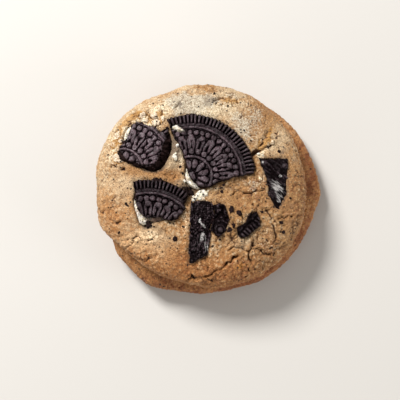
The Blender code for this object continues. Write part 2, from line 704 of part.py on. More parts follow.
def main():
    clear_scene()
    parts = new_collection("Stuffed cookie")
    helpers = new_collection("Cutters")
    dough_material = new_material("Baked dough", DOUGH_COLOUR, 0.65)
    wafer_material = new_material("Dark cocoa biscuit", WAFER_COLOUR, 0.5)
    cream_material = new_material("White cream", CREAM_COLOUR, 0.45)
    dough = make_dough(parts, dough_material)
    cutters = []
    for name, piece in PIECES.items():
        cutters.append(make_piece(name, piece, parts, helpers, wafer_material)[1])
    for name, cream in CREAMS.items():
        cutters.append(make_cream(name, cream, parts, helpers, cream_material)[1])
    boolean(dough, "UNION", make_crumbs(helpers), helpers)
    boolean(dough, "DIFFERENCE", cutters, helpers)
    dough.data.shade_smooth()
    dough.data.set_sharp_from_angle(angle=math.radians(40))


main()
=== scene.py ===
import itertools
import math

import bpy
import numpy as np
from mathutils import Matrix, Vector


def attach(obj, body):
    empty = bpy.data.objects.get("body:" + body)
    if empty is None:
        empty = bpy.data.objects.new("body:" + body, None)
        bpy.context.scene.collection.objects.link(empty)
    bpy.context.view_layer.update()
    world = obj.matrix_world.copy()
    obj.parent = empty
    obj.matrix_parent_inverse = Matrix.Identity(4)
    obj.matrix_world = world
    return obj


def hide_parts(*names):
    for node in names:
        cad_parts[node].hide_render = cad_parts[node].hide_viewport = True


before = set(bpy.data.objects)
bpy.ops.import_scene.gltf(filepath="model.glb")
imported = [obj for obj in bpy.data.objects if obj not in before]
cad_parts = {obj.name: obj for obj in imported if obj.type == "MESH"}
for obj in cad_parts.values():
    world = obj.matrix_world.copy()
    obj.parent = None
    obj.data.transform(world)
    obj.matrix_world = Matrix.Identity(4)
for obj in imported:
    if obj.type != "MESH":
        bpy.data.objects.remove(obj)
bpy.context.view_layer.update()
mm = 0.001
print("frame loaded")


def latticeValue(cells, seed):
    # An even spread from 0 to 1, one value for each whole-number corner, mixed from its numbers.
    mixed = cells[..., 0] * 73856093 ^ cells[..., 1] * 19349663
    mixed = mixed ^ cells[..., 2] * 83492791 ^ seed * 2654435
    mixed = (mixed ^ (mixed >> 13)) * 1274126177 & 0x7FFFFFFF
    return ((mixed ^ (mixed >> 15)) & 0xFFFF) / 65535


def softNoise(points, size, seed):
    # From -1 to 1: the values at the eight corners round a point, blended by 3t^2 - 2t^3.
    scaled = points / size
    corner = np.floor(scaled).astype(np.int64)
    part = scaled - corner
    blend = part * part * (3 - 2 * part)
    total = np.zeros(len(points))
    for step in itertools.product((0, 1), repeat=3):
        share = np.prod(np.where(step, blend, 1 - blend), axis=1)
        total += share * (2 * latticeValue(corner + step, seed) - 1)
    return total


def layeredNoise(points, size, seed, layers=3):
    # Soft noise, plus the same at half the size and half the height, and so on.
    steps = range(layers)
    return sum(softNoise(points, size / 2**n, seed + 31 * n) / 2**n for n in steps)


def nearestSeeds(points, size, seed):
    # One random seed point in each cube of this size: the distances in mm to the nearest and
    # the second nearest, and the nearest one's own value from 0 to 1.
    scaled = points / size
    home = np.floor(scaled).astype(np.int64)
    first = np.full(len(points), 9.0)
    second = first.copy()
    own = np.zeros(len(points))
    for step in itertools.product((-1, 0, 1), repeat=3):
        cell = home + step
        spot = cell + np.stack([latticeValue(cell, seed + n) for n in range(3)], axis=1)
        away = np.linalg.norm(scaled - spot, axis=1)
        nearer = away < first
        second = np.where(nearer, first, np.minimum(second, away))
        own = np.where(nearer, latticeValue(cell, seed + 3), own)
        first = np.where(nearer, away, first)
    return first * size, second * size, own


def bentCells(points, push, bend, size, seeds):
    # The same cells, bent by noise of this push and size: how much further the second seed is
    # than the nearest, which is 0 on the border between two cells, and the cell's own value.
    sway = [layeredNoise(points, bend, seeds[0] + n, 2) for n in range(3)]
    first, second, own = nearestSeeds(points + push * np.stack(sway, axis=1), size, seeds[1])
    return second - first, own


def pushed(plan, points, pushes, seeds):
    # Each plan coordinate moved by soft noise of two sizes, given as (push, size).
    moved = []
    for values, seed in zip(plan, seeds):
        for n, (push, size) in enumerate(pushes):
            values = values + push * softNoise(points, size, seed + n)
        moved.append(values)
    return moved


def ease(value, low=0, high=1):
    # 0 below low, 1 above high and 3t^2 - 2t^3 between.
    part = np.clip((value - low) / (high - low), 0, 1)
    return part * part * (3 - 2 * part)


def bell(value, width):
    # e^-(value / width)^2: 1 at 0, and almost nothing past twice the width.
    return np.exp(-((value / width) ** 2))


def flatPoints(x, y):
    # Plan points at height 0, where a face reads its noise.
    return np.stack([x, y, 0 * x], axis=1)


def turned(x, y, degrees):
    # The distances of plan points along and across a direction.
    c, s = math.cos(math.radians(degrees)), math.sin(math.radians(degrees))
    return x * c + y * s, y * c - x * s


def patchStrength(x, y, patches):
    # A sum of bell curves over ellipses, each turned to its own direction.
    total = np.zeros(len(x))
    for px, py, along, across, angle, strength in patches:
        u, v = turned(x - px, y - py, angle)
        total += strength * bell(u, along) * bell(v, across)
    return total


def edgeRadius(outline, middle, turn):
    # Distance from the middle to the straight edges at each angle: the ray r (cos, sin) meets
    # the edge a + s (b - a) where r = a x (b - a) / ray x (b - a).
    corners = np.array(outline, float) - middle
    angles = np.arctan2(corners[:, 1], corners[:, 0])
    order = np.argsort(angles)
    corners, angles = corners[order], angles[order]
    wrapped = (turn + math.pi) % math.tau - math.pi
    after = np.searchsorted(angles, wrapped)
    a = corners[(after - 1) % len(corners)]
    edge = corners[after % len(corners)] - a
    ray = np.stack([np.cos(turn), np.sin(turn)], axis=-1)
    top = a[..., 0] * edge[..., 1] - a[..., 1] * edge[..., 0]
    return top / (ray[..., 0] * edge[..., 1] - ray[..., 1] * edge[..., 0])


def distanceToRun(x, y, run):
    # Distance in plan from points to a run of straight pieces.
    nearest = np.full_like(x, 99.0)
    for (ax, ay), (bx, by) in zip(run[:-1], run[1:]):
        dx, dy = bx - ax, by - ay
        along = np.clip(((x - ax) * dx + (y - ay) * dy) / (dx * dx + dy * dy), 0, 1)
        nearest = np.minimum(nearest, np.hypot(x - ax - along * dx, y - ay - along * dy))
    return nearest


def distanceInto(x, y, outline):
    # Distance to the outline, negative inside it: a point is inside if a ray crosses it oddly.
    inside = np.zeros(len(x), bool)
    closed = [*outline, outline[0]]
    for (ax, ay), (bx, by) in zip(closed[:-1], closed[1:]):
        crosses = (ay > y) != (by > y)
        inside ^= crosses & (x < (bx - ax) * (y - ay) / (by - ay if by != ay else 1) + ax)
    return np.where(inside, -1, 1) * distanceToRun(x, y, closed)


def lumpGrid(rings, sideRows, underRows):
    # A closed lump as two parameters for each vertex: the angle "turn", and "way", which runs
    # 0 at the top's middle, 1 at its edge, 2 at its foot and 3 at the underside's middle. The
    # top is a square grid whose squares round the middle become circles, so cells stay even.
    count = 2 * rings + 1
    line = np.linspace(-1, 1, count)
    across, up = np.meshgrid(line, line)
    flat = np.abs(across) >= np.abs(up)
    below = np.where(flat, np.where(across == 0, 1, across), up)
    above = np.where(flat, up, across)
    turn = np.where(flat, above / below, 2 - above / below) * math.pi / 4
    turn += np.where(below < 0, math.pi, 0)
    way = np.maximum(np.abs(across), np.abs(up))
    index = np.arange(count * count).reshape(count, count)
    quads = [np.stack([index[:-1, :-1], index[:-1, 1:], index[1:, 1:], index[1:, :-1]], -1)]
    rim = np.concatenate([index[:-1, -1], index[-1, :0:-1], index[:0:-1, 0], index[0, :-1]])
    levels = [1 + (n + 1) / sideRows for n in range(sideRows)]
    levels += [2 + (n + 1) / underRows for n in range(underRows - 1)]
    rows = [rim] + [count**2 + len(rim) * n + np.arange(len(rim)) for n in range(len(levels))]
    for upper, lower in zip(rows[:-1], rows[1:]):
        quads.append(np.stack([upper, lower, np.roll(lower, -1), np.roll(upper, -1)], -1))
    last = count**2 + len(rim) * len(levels)
    fan = np.stack([rows[-1], np.full(len(rim), last), np.roll(rows[-1], -1)], -1)
    turns = np.concatenate([turn.ravel(), np.tile(turn.ravel()[rim], len(levels)), [0]])
    ways = np.concatenate([way.ravel(), np.repeat(levels, len(rim)), [3]])
    return turns, ways, np.concatenate([q.reshape(-1, 4) for q in quads]), fan


def cornerNormals(points, quads):
    # Each quad's normal is the cross product of its diagonals, summed at its corners.
    a, b, c, d = points[quads.T]
    facing = np.cross(c - a, d - b)
    corners = quads.ravel()
    each = [np.bincount(corners, np.repeat(facing[:, n], 4), len(points)) for n in range(3)]
    normals = np.stack(each, axis=1)
    return normals / np.maximum(np.linalg.norm(normals, axis=1), 1e-9)[:, None]


def makePiece(name, points, groups, material, nodes, marks):
    # Puts points in mm into a mesh with smooth faces, hangs it on the root body and hides the
    # CAD parts it stands for.
    mesh = bpy.data.meshes.new(name)
    mesh.from_pydata((points * mm).tolist(), [], [face for group in groups for face in group.tolist()])
    for mark, values in marks.items():
        attribute = mesh.attributes.new(mark, "FLOAT", "POINT")
        attribute.data.foreach_set("value", values.astype(np.float32))
    mesh.shade_smooth()
    mesh.materials.append(material)
    piece = bpy.data.objects.new(name, mesh)
    bpy.context.scene.collection.objects.link(piece)
    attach(piece, "root")
    if nodes:
        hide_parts(*nodes)
    print(name, len(mesh.vertices), "vertices")


def linear(code):
    # sRGB hex to linear light: c / 12.92 up to 0.04045, then ((c + 0.055) / 1.055)^2.4.
    parts = [int(code[n:n + 2], 16) / 255 for n in (1, 3, 5)]
    return (*[p / 12.92 if p <= 0.04045 else ((p + 0.055) / 1.055) ** 2.4 for p in parts], 1)


def addNode(tree, kind, feeds, out=0, **settings):
    # Adds one shader node with its settings, feeds its sockets with links or plain values, and
    # gives back one of its outputs.
    node = tree.nodes.new("ShaderNode" + kind)
    for name, value in settings.items():
        setattr(node, name, value)
    for name, value in feeds.items():
        if isinstance(value, bpy.types.NodeSocket):
            tree.links.new(value, node.inputs[name])
        else:
            node.inputs[name].default_value = value
    return node.outputs[out]


def perMetre(size):
    # The scale of a texture whose features are this many mm across, on coordinates in metres.
    return 1000 / size


def startMaterial(name, values):
    # A new material, with these values set on its shader's own sockets.
    material = bpy.data.materials.new(name)
    material.use_nodes = True
    shader = material.node_tree.nodes["Principled BSDF"]
    for socket, value in values.items():
        shader.inputs[socket].default_value = value
    return material, material.node_tree, shader


def layColour(tree, colour, over, terms, low=0, high=1, reach=1, fade="LINEAR"):
    # Lays one colour over another where the sum of value * weight rises from low to high, up to
    # this share of it.
    total = 0
    for value, weight in terms:
        total = addNode(tree, "Math", {0: value, 1: weight, 2: total}, operation="MULTIPLY_ADD")
    span = {"Value": total, "From Min": low, "From Max": high, "To Max": reach}
    amount = addNode(tree, "MapRange", span, interpolation_type=fade)
    return addNode(tree, "Mix", {0: amount, 6: colour, 7: over}, 2, data_type="RGBA")


def speckMask(tree, place, pitch, share, outer, inner, fade="LINEAR"):
    # Specks in a share of cells of this pitch in mm. Each is full out to the inner part of a
    # cell's width and gone past the outer; noise of 0.4 mm, pushing by up to 0.6, makes it ragged.
    wobble = addNode(tree, "TexNoise", {"Vector": place, "Scale": perMetre(0.4)}, "Color")
    pushes = {0: wobble, 1: (0.6 * mm,) * 3, 2: place}
    shaken = addNode(tree, "VectorMath", pushes, operation="MULTIPLY_ADD")
    cell = addNode(tree, "TexVoronoi", {"Vector": shaken, "Scale": perMetre(pitch)}, "Color")
    chance = addNode(tree, "SeparateColor", {0: cell})
    here = addNode(tree, "Math", {0: chance, 1: share}, operation="LESS_THAN")
    span = {"Value": cell.node.outputs["Distance"], "From Min": outer, "From Max": inner}
    near = addNode(tree, "MapRange", span, interpolation_type=fade)
    return addNode(tree, "Math", {0: here, 1: near}, operation="MULTIPLY")


doughFinish = {
    # hollowShade and grains: painted shade in the hollows of the crust's grain and a painted highlight on
    # its grains
    "gold": "#C9B493", "golden": (1, 0.79, 0.61, 1), "hollowShade": (0.52, 0.42, 0.34, 1),
    "grains": (1.42, 1.45, 1.48, 1), "dust": "#21160F",
    # layers of colour, in turn: colour, mark, weights of mottle, grain and grit beside the mark,
    # the sums where it starts and where it is full, and how much of the last colour it covers
    # toastAndShade: browner where the dough baked more, and browner as painted shade to the lower right, on
    # the front side, in folds and between grains
    "baked": (("#A37A4C", "toastAndShade", (0.8, 1.1, 0), 0.65, 1.5, 1),
              ("#84532E", "toastAndShade", (0.8, 1.1, 0), 1.45, 2.3, 1),
              ("#EADBBB", "creamy", (0.7, 1, 0), 0.97, 1.42, 0.85),
              ("#A8772F", "amberAndShade", (0.7, 1, 0), 1.15, 1.57, 0.8),
              ("#B4AA97", "ashen", (0.7, 1, 0), 1.03, 1.43, 0.8),
              ("#DFCDB4", "flaky", (0.7, 1, 0), 1.45, 1.75, 0.95)),
    # sootAndShade and crackShade are painted shade in part
    "marked": (("#5D5045", "sootAndShade", (0, 0, 0.7), 0.45, 1.05, 0.75),
               ("#4A2A12", "crackShade", (0, 0, 0.5), 0.5, 0.85, 1)),
    # noises: size in mm, detail
    "noises": ((4.5, 3), (0.62, 3), (0.27, 2)),
    # specks of biscuit dust: pitch in mm, radius as a part of it, share for each unit of dust
    "specks": ((1.25, 0.26, 0.55), (0.75, 0.24, 0.8)),
    "shader": {"Roughness": 0.62, "Specular IOR Level": 0.3}, "bump": 0.4,
}


def bakedDough():
    # Real one: butter dough browned in an oven. Its crust is dry and matt, gold with browner
    # mottling, pale where fat and sugar stayed, and peppered with dust of the dark biscuit. Painted
    # shade darkens its cracks, folds and hollows, the edges of the biscuit and the lower right, and a
    # painted highlight lightens its grains.
    look = doughFinish
    material, tree, shader = startMaterial("ovenBrownedDough", look["shader"])
    place = addNode(tree, "TexCoord", {}, "Object")
    marks = ("toastAndShade", "creamy", "amberAndShade", "ashen", "flaky", "sootAndShade", "crackShade", "golden", "dust")
    mark = {name: addNode(tree, "Attribute", {}, "Fac", attribute_name=name) for name in marks}
    noises = []
    for size, detail in look["noises"]:
        feeds = {"Vector": place, "Scale": perMetre(size), "Detail": detail, "Roughness": 0.55}
        noises.append(addNode(tree, "TexNoise", feeds))
    _, grain, grit = noises
    # the grain and grit noises, which also make the bump, multiply the colour: painted shade where the
    # relief is low and a painted highlight where it is high
    coarse = ((grain, 1), (grit, 1.7))
    shade = layColour(tree, look["hollowShade"], look["grains"], coarse, 1.03, 1.66, 1, "SMOOTHSTEP")

    def layRows(colour, rows):
        for code, name, weights, low, high, reach in rows:
            terms = [(mark[name], 1), *(term for term in zip(noises, weights) if term[1])]
            colour = layColour(tree, colour, linear(code), terms, low, high, reach, "SMOOTHSTEP")
        return colour

    colour = layRows(linear(look["gold"]), look["baked"])
    # the golden tint, then the painted shade and painted highlight of the grain
    for amount, tint in ((mark["golden"], look["golden"]), (1, shade)):
        feeds = {0: amount, 6: colour, 7: tint}
        colour = addNode(tree, "Mix", feeds, 2, data_type="RGBA", blend_type="MULTIPLY")
    colour = layRows(colour, look["marked"])
    for pitch, size, share in look["specks"]:
        wanted = addNode(tree, "Math", {0: mark["dust"], 1: share}, operation="MULTIPLY")
        speck = speckMask(tree, place, pitch, wanted, size + 0.1, size - 0.05, "SMOOTHSTEP")
        colour = layColour(tree, colour, linear(look["dust"]), [(speck, 1)])
    tree.links.new(colour, shader.inputs["Base Color"])
    height = addNode(tree, "Math", {0: grit, 1: 0.9, 2: grain}, operation="MULTIPLY_ADD")
    bump = addNode(tree, "Bump", {"Strength": 1, "Distance": look["bump"] * mm, "Height": height})
    tree.links.new(bump, shader.inputs["Normal"])
    return material


waferFinish = {
    "cocoa": "#0E0708", "raisedAndLit": "#4B383E", "broken": "#221615", "smear": "#BDB8B4",
    # sizes in mm and bump depth; dull and rubbed are the gloss of the floor and of the ridges
    "grain": 0.6, "grit": 0.3, "streak": 0.36, "bump": 0.18,
    "pressed": 0.4, "crumbly": 0.7, "dull": 0.03, "rubbed": 0.55,
}


def cocoaBiscuit():
    # Real one: a pressed wafer of alkalised cocoa, almost black. Its raised pattern is rubbed
    # smooth and catches the light, its broken sides are dull and crumbly. What stands up is painted
    # lighter, as a painted highlight, and its grooves darker, as painted shade.
    look = waferFinish
    values = {"Roughness": look["pressed"], "Specular IOR Level": look["dull"]}
    material, tree, shader = startMaterial("pressedCocoaBiscuit", values)
    place = addNode(tree, "TexCoord", {}, "Object")
    marks = ("raisedAndLit", "broken", "smear", "along", "across")
    mark = {name: addNode(tree, "Attribute", {}, "Fac", attribute_name=name) for name in marks}
    reads = [{"Vector": place, "Scale": perMetre(look[name]), "Detail": detail}
             for name, detail in (("grain", 4), ("grit", 2))]
    fine, grit = [addNode(tree, "TexNoise", feeds) for feeds in reads]
    colour = linear(look["cocoa"])
    # raisedAndLit lays a painted highlight on what stands up; broken is the colour of torn sides
    for name in ("raisedAndLit", "broken"):
        colour = layColour(tree, colour, linear(look[name]), [(mark[name], 1)])
    span = {"Value": fine, "From Min": 0.35, "From Max": 0.7, "To Min": 0.4, "To Max": 1.7}
    mottled = {0: 1, 6: colour, 7: addNode(tree, "MapRange", span)}
    colour = addNode(tree, "Mix", mottled, 2, data_type="RGBA", blend_type="MULTIPLY")
    # smears lie as thin streaks, a noise read at the distances along and across their direction
    lane = addNode(tree, "CombineXYZ", {0: mark["along"], 1: mark["across"]})
    streak = addNode(tree, "TexNoise", {"Vector": lane, "Scale": 1 / look["streak"], "Detail": 4})
    colour = layColour(tree, colour, linear(look["smear"]), [(mark["smear"], streak)], 0.42, 0.58, 0.75)
    tree.links.new(colour, shader.inputs["Base Color"])
    for socket, name, low, high in (("Specular IOR Level", "raisedAndLit", "dull", "rubbed"),
                                    ("Roughness", "broken", "pressed", "crumbly")):
        span = {"Value": mark[name], "To Min": look[low], "To Max": look[high]}
        tree.links.new(addNode(tree, "MapRange", span), shader.inputs[socket])
    height = addNode(tree, "Math", {0: fine, 1: grit}, operation="ADD")
    bump = addNode(tree, "Bump", {"Strength": 0.9, "Distance": look["bump"] * mm, "Height": height})
    tree.links.new(bump, shader.inputs["Normal"])
    return material


creamFinish = {
    "white": "#E6DFD2", "grubbyAndShaded": "#A07A69", "dust": "#382B28", "bump": 0.4,
    # patches: colour, size in mm and detail of its noise, where it starts and where it is full
    "yellowed": ("#D2C39B", 1.2, 2, 0.4, 0.75), "stained": ("#A3988C", 0.6, 4, 0.5, 0.72),
    # crumbs: pitch in mm, share of cells, outer and inner radius as parts of a cell
    "specks": (0.75, 0.35, 0.34, 0.22),
    "shader": {"Roughness": 0.6, "Specular IOR Level": 0.4, "Subsurface Weight": 0.2,
               "Subsurface Radius": (0.0012, 0.001, 0.0007), "Subsurface Scale": 1},
}


def sugarCream():
    # Real one: icing sugar beaten into vegetable fat. It is off-white and satin, lets a little
    # light in, and has picked up dark crumbs. It is painted browner under a biscuit's edge, as shade.
    look = creamFinish
    material, tree, shader = startMaterial("sugarAndFatCream", look["shader"])
    place = addNode(tree, "TexCoord", {}, "Object")
    colour = linear(look["white"])
    for name in ("yellowed", "stained"):
        code, size, detail, low, high = look[name]
        noise = addNode(tree, "TexNoise", {"Vector": place, "Scale": perMetre(size), "Detail": detail})
        colour = layColour(tree, colour, linear(code), [(noise, 1)], low, high)
    grubbyAndShaded = addNode(tree, "Attribute", {}, "Fac", attribute_name="grubbyAndShaded")
    colour = layColour(tree, colour, linear(look["grubbyAndShaded"]), [(grubbyAndShaded, 1)])
    speck = speckMask(tree, place, *look["specks"])
    colour = layColour(tree, colour, linear(look["dust"]), [(speck, 1)])
    tree.links.new(colour, shader.inputs["Base Color"])
    # the stain's noise, the finer of the two, is its relief as well
    bump = addNode(tree, "Bump", {"Strength": 0.9, "Distance": look["bump"] * mm, "Height": noise})
    tree.links.new(bump, shader.inputs["Normal"])
    return material


# The pieces of biscuit, in plan and in mm, by their nodes' names. A face's sheen, a painted
# highlight, is given as patches: x, y, reach along, reach across, angle, strength; its shine scales
# the painted highlight of the whole piece.
wafers = {
    "wafer_quarter": {
        "face": "stamped", "centre": (-6.4, 1.9), "middle": (0.5, 10), "thickness": 2.4, "rings": 112,
        "arc": (10, 112), "paintedShine": 0.68,
        "outline": [(-15.2, 22.6), (-14.1, 20.6), (-13, 17.3), (-12.3, 15.4), (-10.9, 13.6), (-10.6, 12.4),
            (-9.7, 11.3), (-9, 8.9), (-8.3, 6.6), (-7.9, 4.8), (-7.4, 2.9), (-6.5, 1.3), (-4.7, -0.8),
            (-3.3, -1.9), (-1.5, -1.9), (0.8, -1.2), (2.6, -0.3), (5.3, 0.8), (8.3, 1.8), (11.5, 2.2),
            (14.9, 3.1), (15.6, 4.6)],
        "bite": [(-14.4, 21.2), (-11.8, 21.2), (-8.6, 18.9), (-8.4, 17.4), (-11.1, 17.2), (-13.6, 18.4)],
    },
    "wafer_block": {
        "face": "stamped", "centre": (-30.6, 4.6), "middle": (-22.8, 13), "thickness": 3.9, "rings": 72,
        "sideRows": 24, "crumble": 1.3, "paintedShine": 1.35,
        "paintedSheen": ((-25, 9.2, 4.5, 2, -40, 0.8), (-24, 17, 3, 2, -40, 0.4)),
        "outline": [(-32.1, 11.3), (-30.2, 9.1), (-28.6, 7.5), (-25.9, 6.9), (-23.5, 5.8), (-20.5, 5.6),
            (-18.9, 6.4), (-18.1, 8), (-17.1, 10.8), (-16.3, 13.2), (-14.5, 17.3), (-15.3, 19),
            (-16.3, 18.7), (-17.9, 17.6), (-19, 19), (-20.6, 19.8), (-22.3, 19.8), (-23.6, 20.9),
            (-25.8, 21.5), (-27.1, 20.1), (-27.9, 17.9), (-28.7, 16.2), (-30, 13.8)],
        "foot": [(-32.1, 11.3), (-30.2, 8.9), (-28.6, 6.9), (-25.9, 6.1), (-23.5, 4.8), (-21.6, 3.9),
            (-19.2, 3.6), (-17.1, 4.4), (-15.2, 6.5), (-13.9, 9.1), (-12.9, 11.9), (-13.1, 14.6),
            (-13.7, 16.8), (-14.8, 18.6), (-17, 18.4), (-19, 19), (-22.3, 19.8), (-25.8, 21.5),
            (-27.9, 17.9)],
    },
    "wafer_rim": {
        "face": "stamped", "centre": (-21.4, -21.5), "middle": (-17.2, -6.2), "thickness": 2.4, "rings": 76,
        "arc": (53, 103), "paintedShine": 0.48,
        "outline": [(-26.9, 0.2), (-26.4, -2.5), (-25.8, -3.8), (-26, -5.8), (-25.6, -7.9), (-24.5, -10),
            (-23.2, -11.9), (-22.4, -12.3), (-19.8, -12.5), (-16.9, -12.1), (-16, -13.2), (-13.5, -13.7),
            (-11.6, -12.6), (-9.7, -11.2), (-9.1, -9.2), (-9.1, -7.5), (-8.1, -5.8)],
    },
    "wafer_rim_under": {
        "face": "plain", "middle": (-17.5, -8.5), "thickness": 2.3, "rings": 22, "sink": 3.8,
        "outline": [(-24, -2.5), (-24.2, -8), (-23.6, -13.2), (-22.9, -14.6), (-22.5, -15.9),
            (-20.8, -15.7), (-20.2, -14.7), (-19.4, -13.6), (-14, -12.2), (-11, -9), (-11.5, -4)],
    },
    "wafer_slab_long": {
        "face": "grained", "middle": (-3.2, -16.5), "thickness": 2.6, "rings": 56, "grainTurn": 88,
        "grooves": (0.25, 0.9), "crumbly": 0.8, "tops": (0, 0.9), "paintedShine": 0.8,
        "outline": [(-6.6, -7.6), (-6.8, -11.8), (-7, -16.9), (-7.2, -20.9), (-7.4, -24.4), (-6.9, -26.2),
            (-7.3, -28), (-5.4, -27.8), (-3, -26.4), (-1, -25.4), (-0.6, -23.5), (-0.1, -20.9),
            (0.1, -19.5), (0.4, -18.1), (0.1, -15.9), (1, -14.1), (1.5, -10.8), (1.2, -8.4), (0.2, -7.2),
            (-2, -6.6), (-4.4, -6.9)],
    },
    "wafer_slab_round": {
        "face": "curled", "centre": (3.6, -16.8), "middle": (3.7, -12.6), "thickness": 2.6, "rings": 34,
        "tops": (0.15, 1.1),
        "outline": [(1.2, -8.4), (1.4, -10.9), (0.6, -14.2), (0.3, -16.7), (1, -17.4), (2, -18.5),
            (3.3, -18.9), (4.4, -18.1), (5.4, -16.9), (6.3, -15.6), (6.6, -13.3), (6.2, -11.2), (5.8, -9.2),
            (4.8, -7.8), (3.2, -7.6)],
    },
    "wafer_wedge": {
        "face": "grained", "middle": (23.6, 1.2), "thickness": 2.6, "rings": 44, "grainTurn": -36,
        "grooves": (0.4, 0.5), "crumbly": 0.25, "tops": (0, 0.6), "paintedShine": 0.6,
        "outline": [(17.3, 8.9), (17.8, 6.8), (19, 3.9), (19.9, 0.8), (20.2, -1.8), (20.5, -4.6),
            (22, -7.4), (22.9, -9), (24.1, -9.3), (25.1, -7.7), (25.7, -6.2), (27, -4.6), (27.2, -0.2),
            (27.4, 3), (27.6, 6.2), (27.5, 8.5), (24.4, 9), (19, 8.7)],
    },
    "wafer_strip": {
        "face": "toothed", "middle": (13.4, -15), "thickness": 3.2, "rings": 30, "grainTurn": 45,
        "tops": (0.3, 1.3), "paintedShine": 0.6,
        "outline": [(9.1, -16.1), (9.3, -16.9), (9.7, -18.3), (10.7, -19.5), (13.1, -18.9), (14.3, -17.7),
            (16.1, -16.5), (17.3, -15.3), (17.5, -14.1), (16.9, -11.6), (16, -10.6), (14.8, -10.2),
            (14.5, -11.4), (13.1, -12.5), (12.5, -14.1), (10.7, -15.3)],
    },
}

waferRadius = 22.3


def waferOutline(wafer):
    # The corners of a piece in plan, with those of the rim's arc every 3 degrees.
    corners = list(wafer["outline"])
    if "arc" in wafer:
        first, last = wafer["arc"]
        x, y = wafer["centre"]
        for angle in np.radians(np.linspace(first, last, round((last - first) / 3) + 1)):
            corners.append((x + waferRadius * math.cos(angle), y + waferRadius * math.sin(angle)))
    return corners


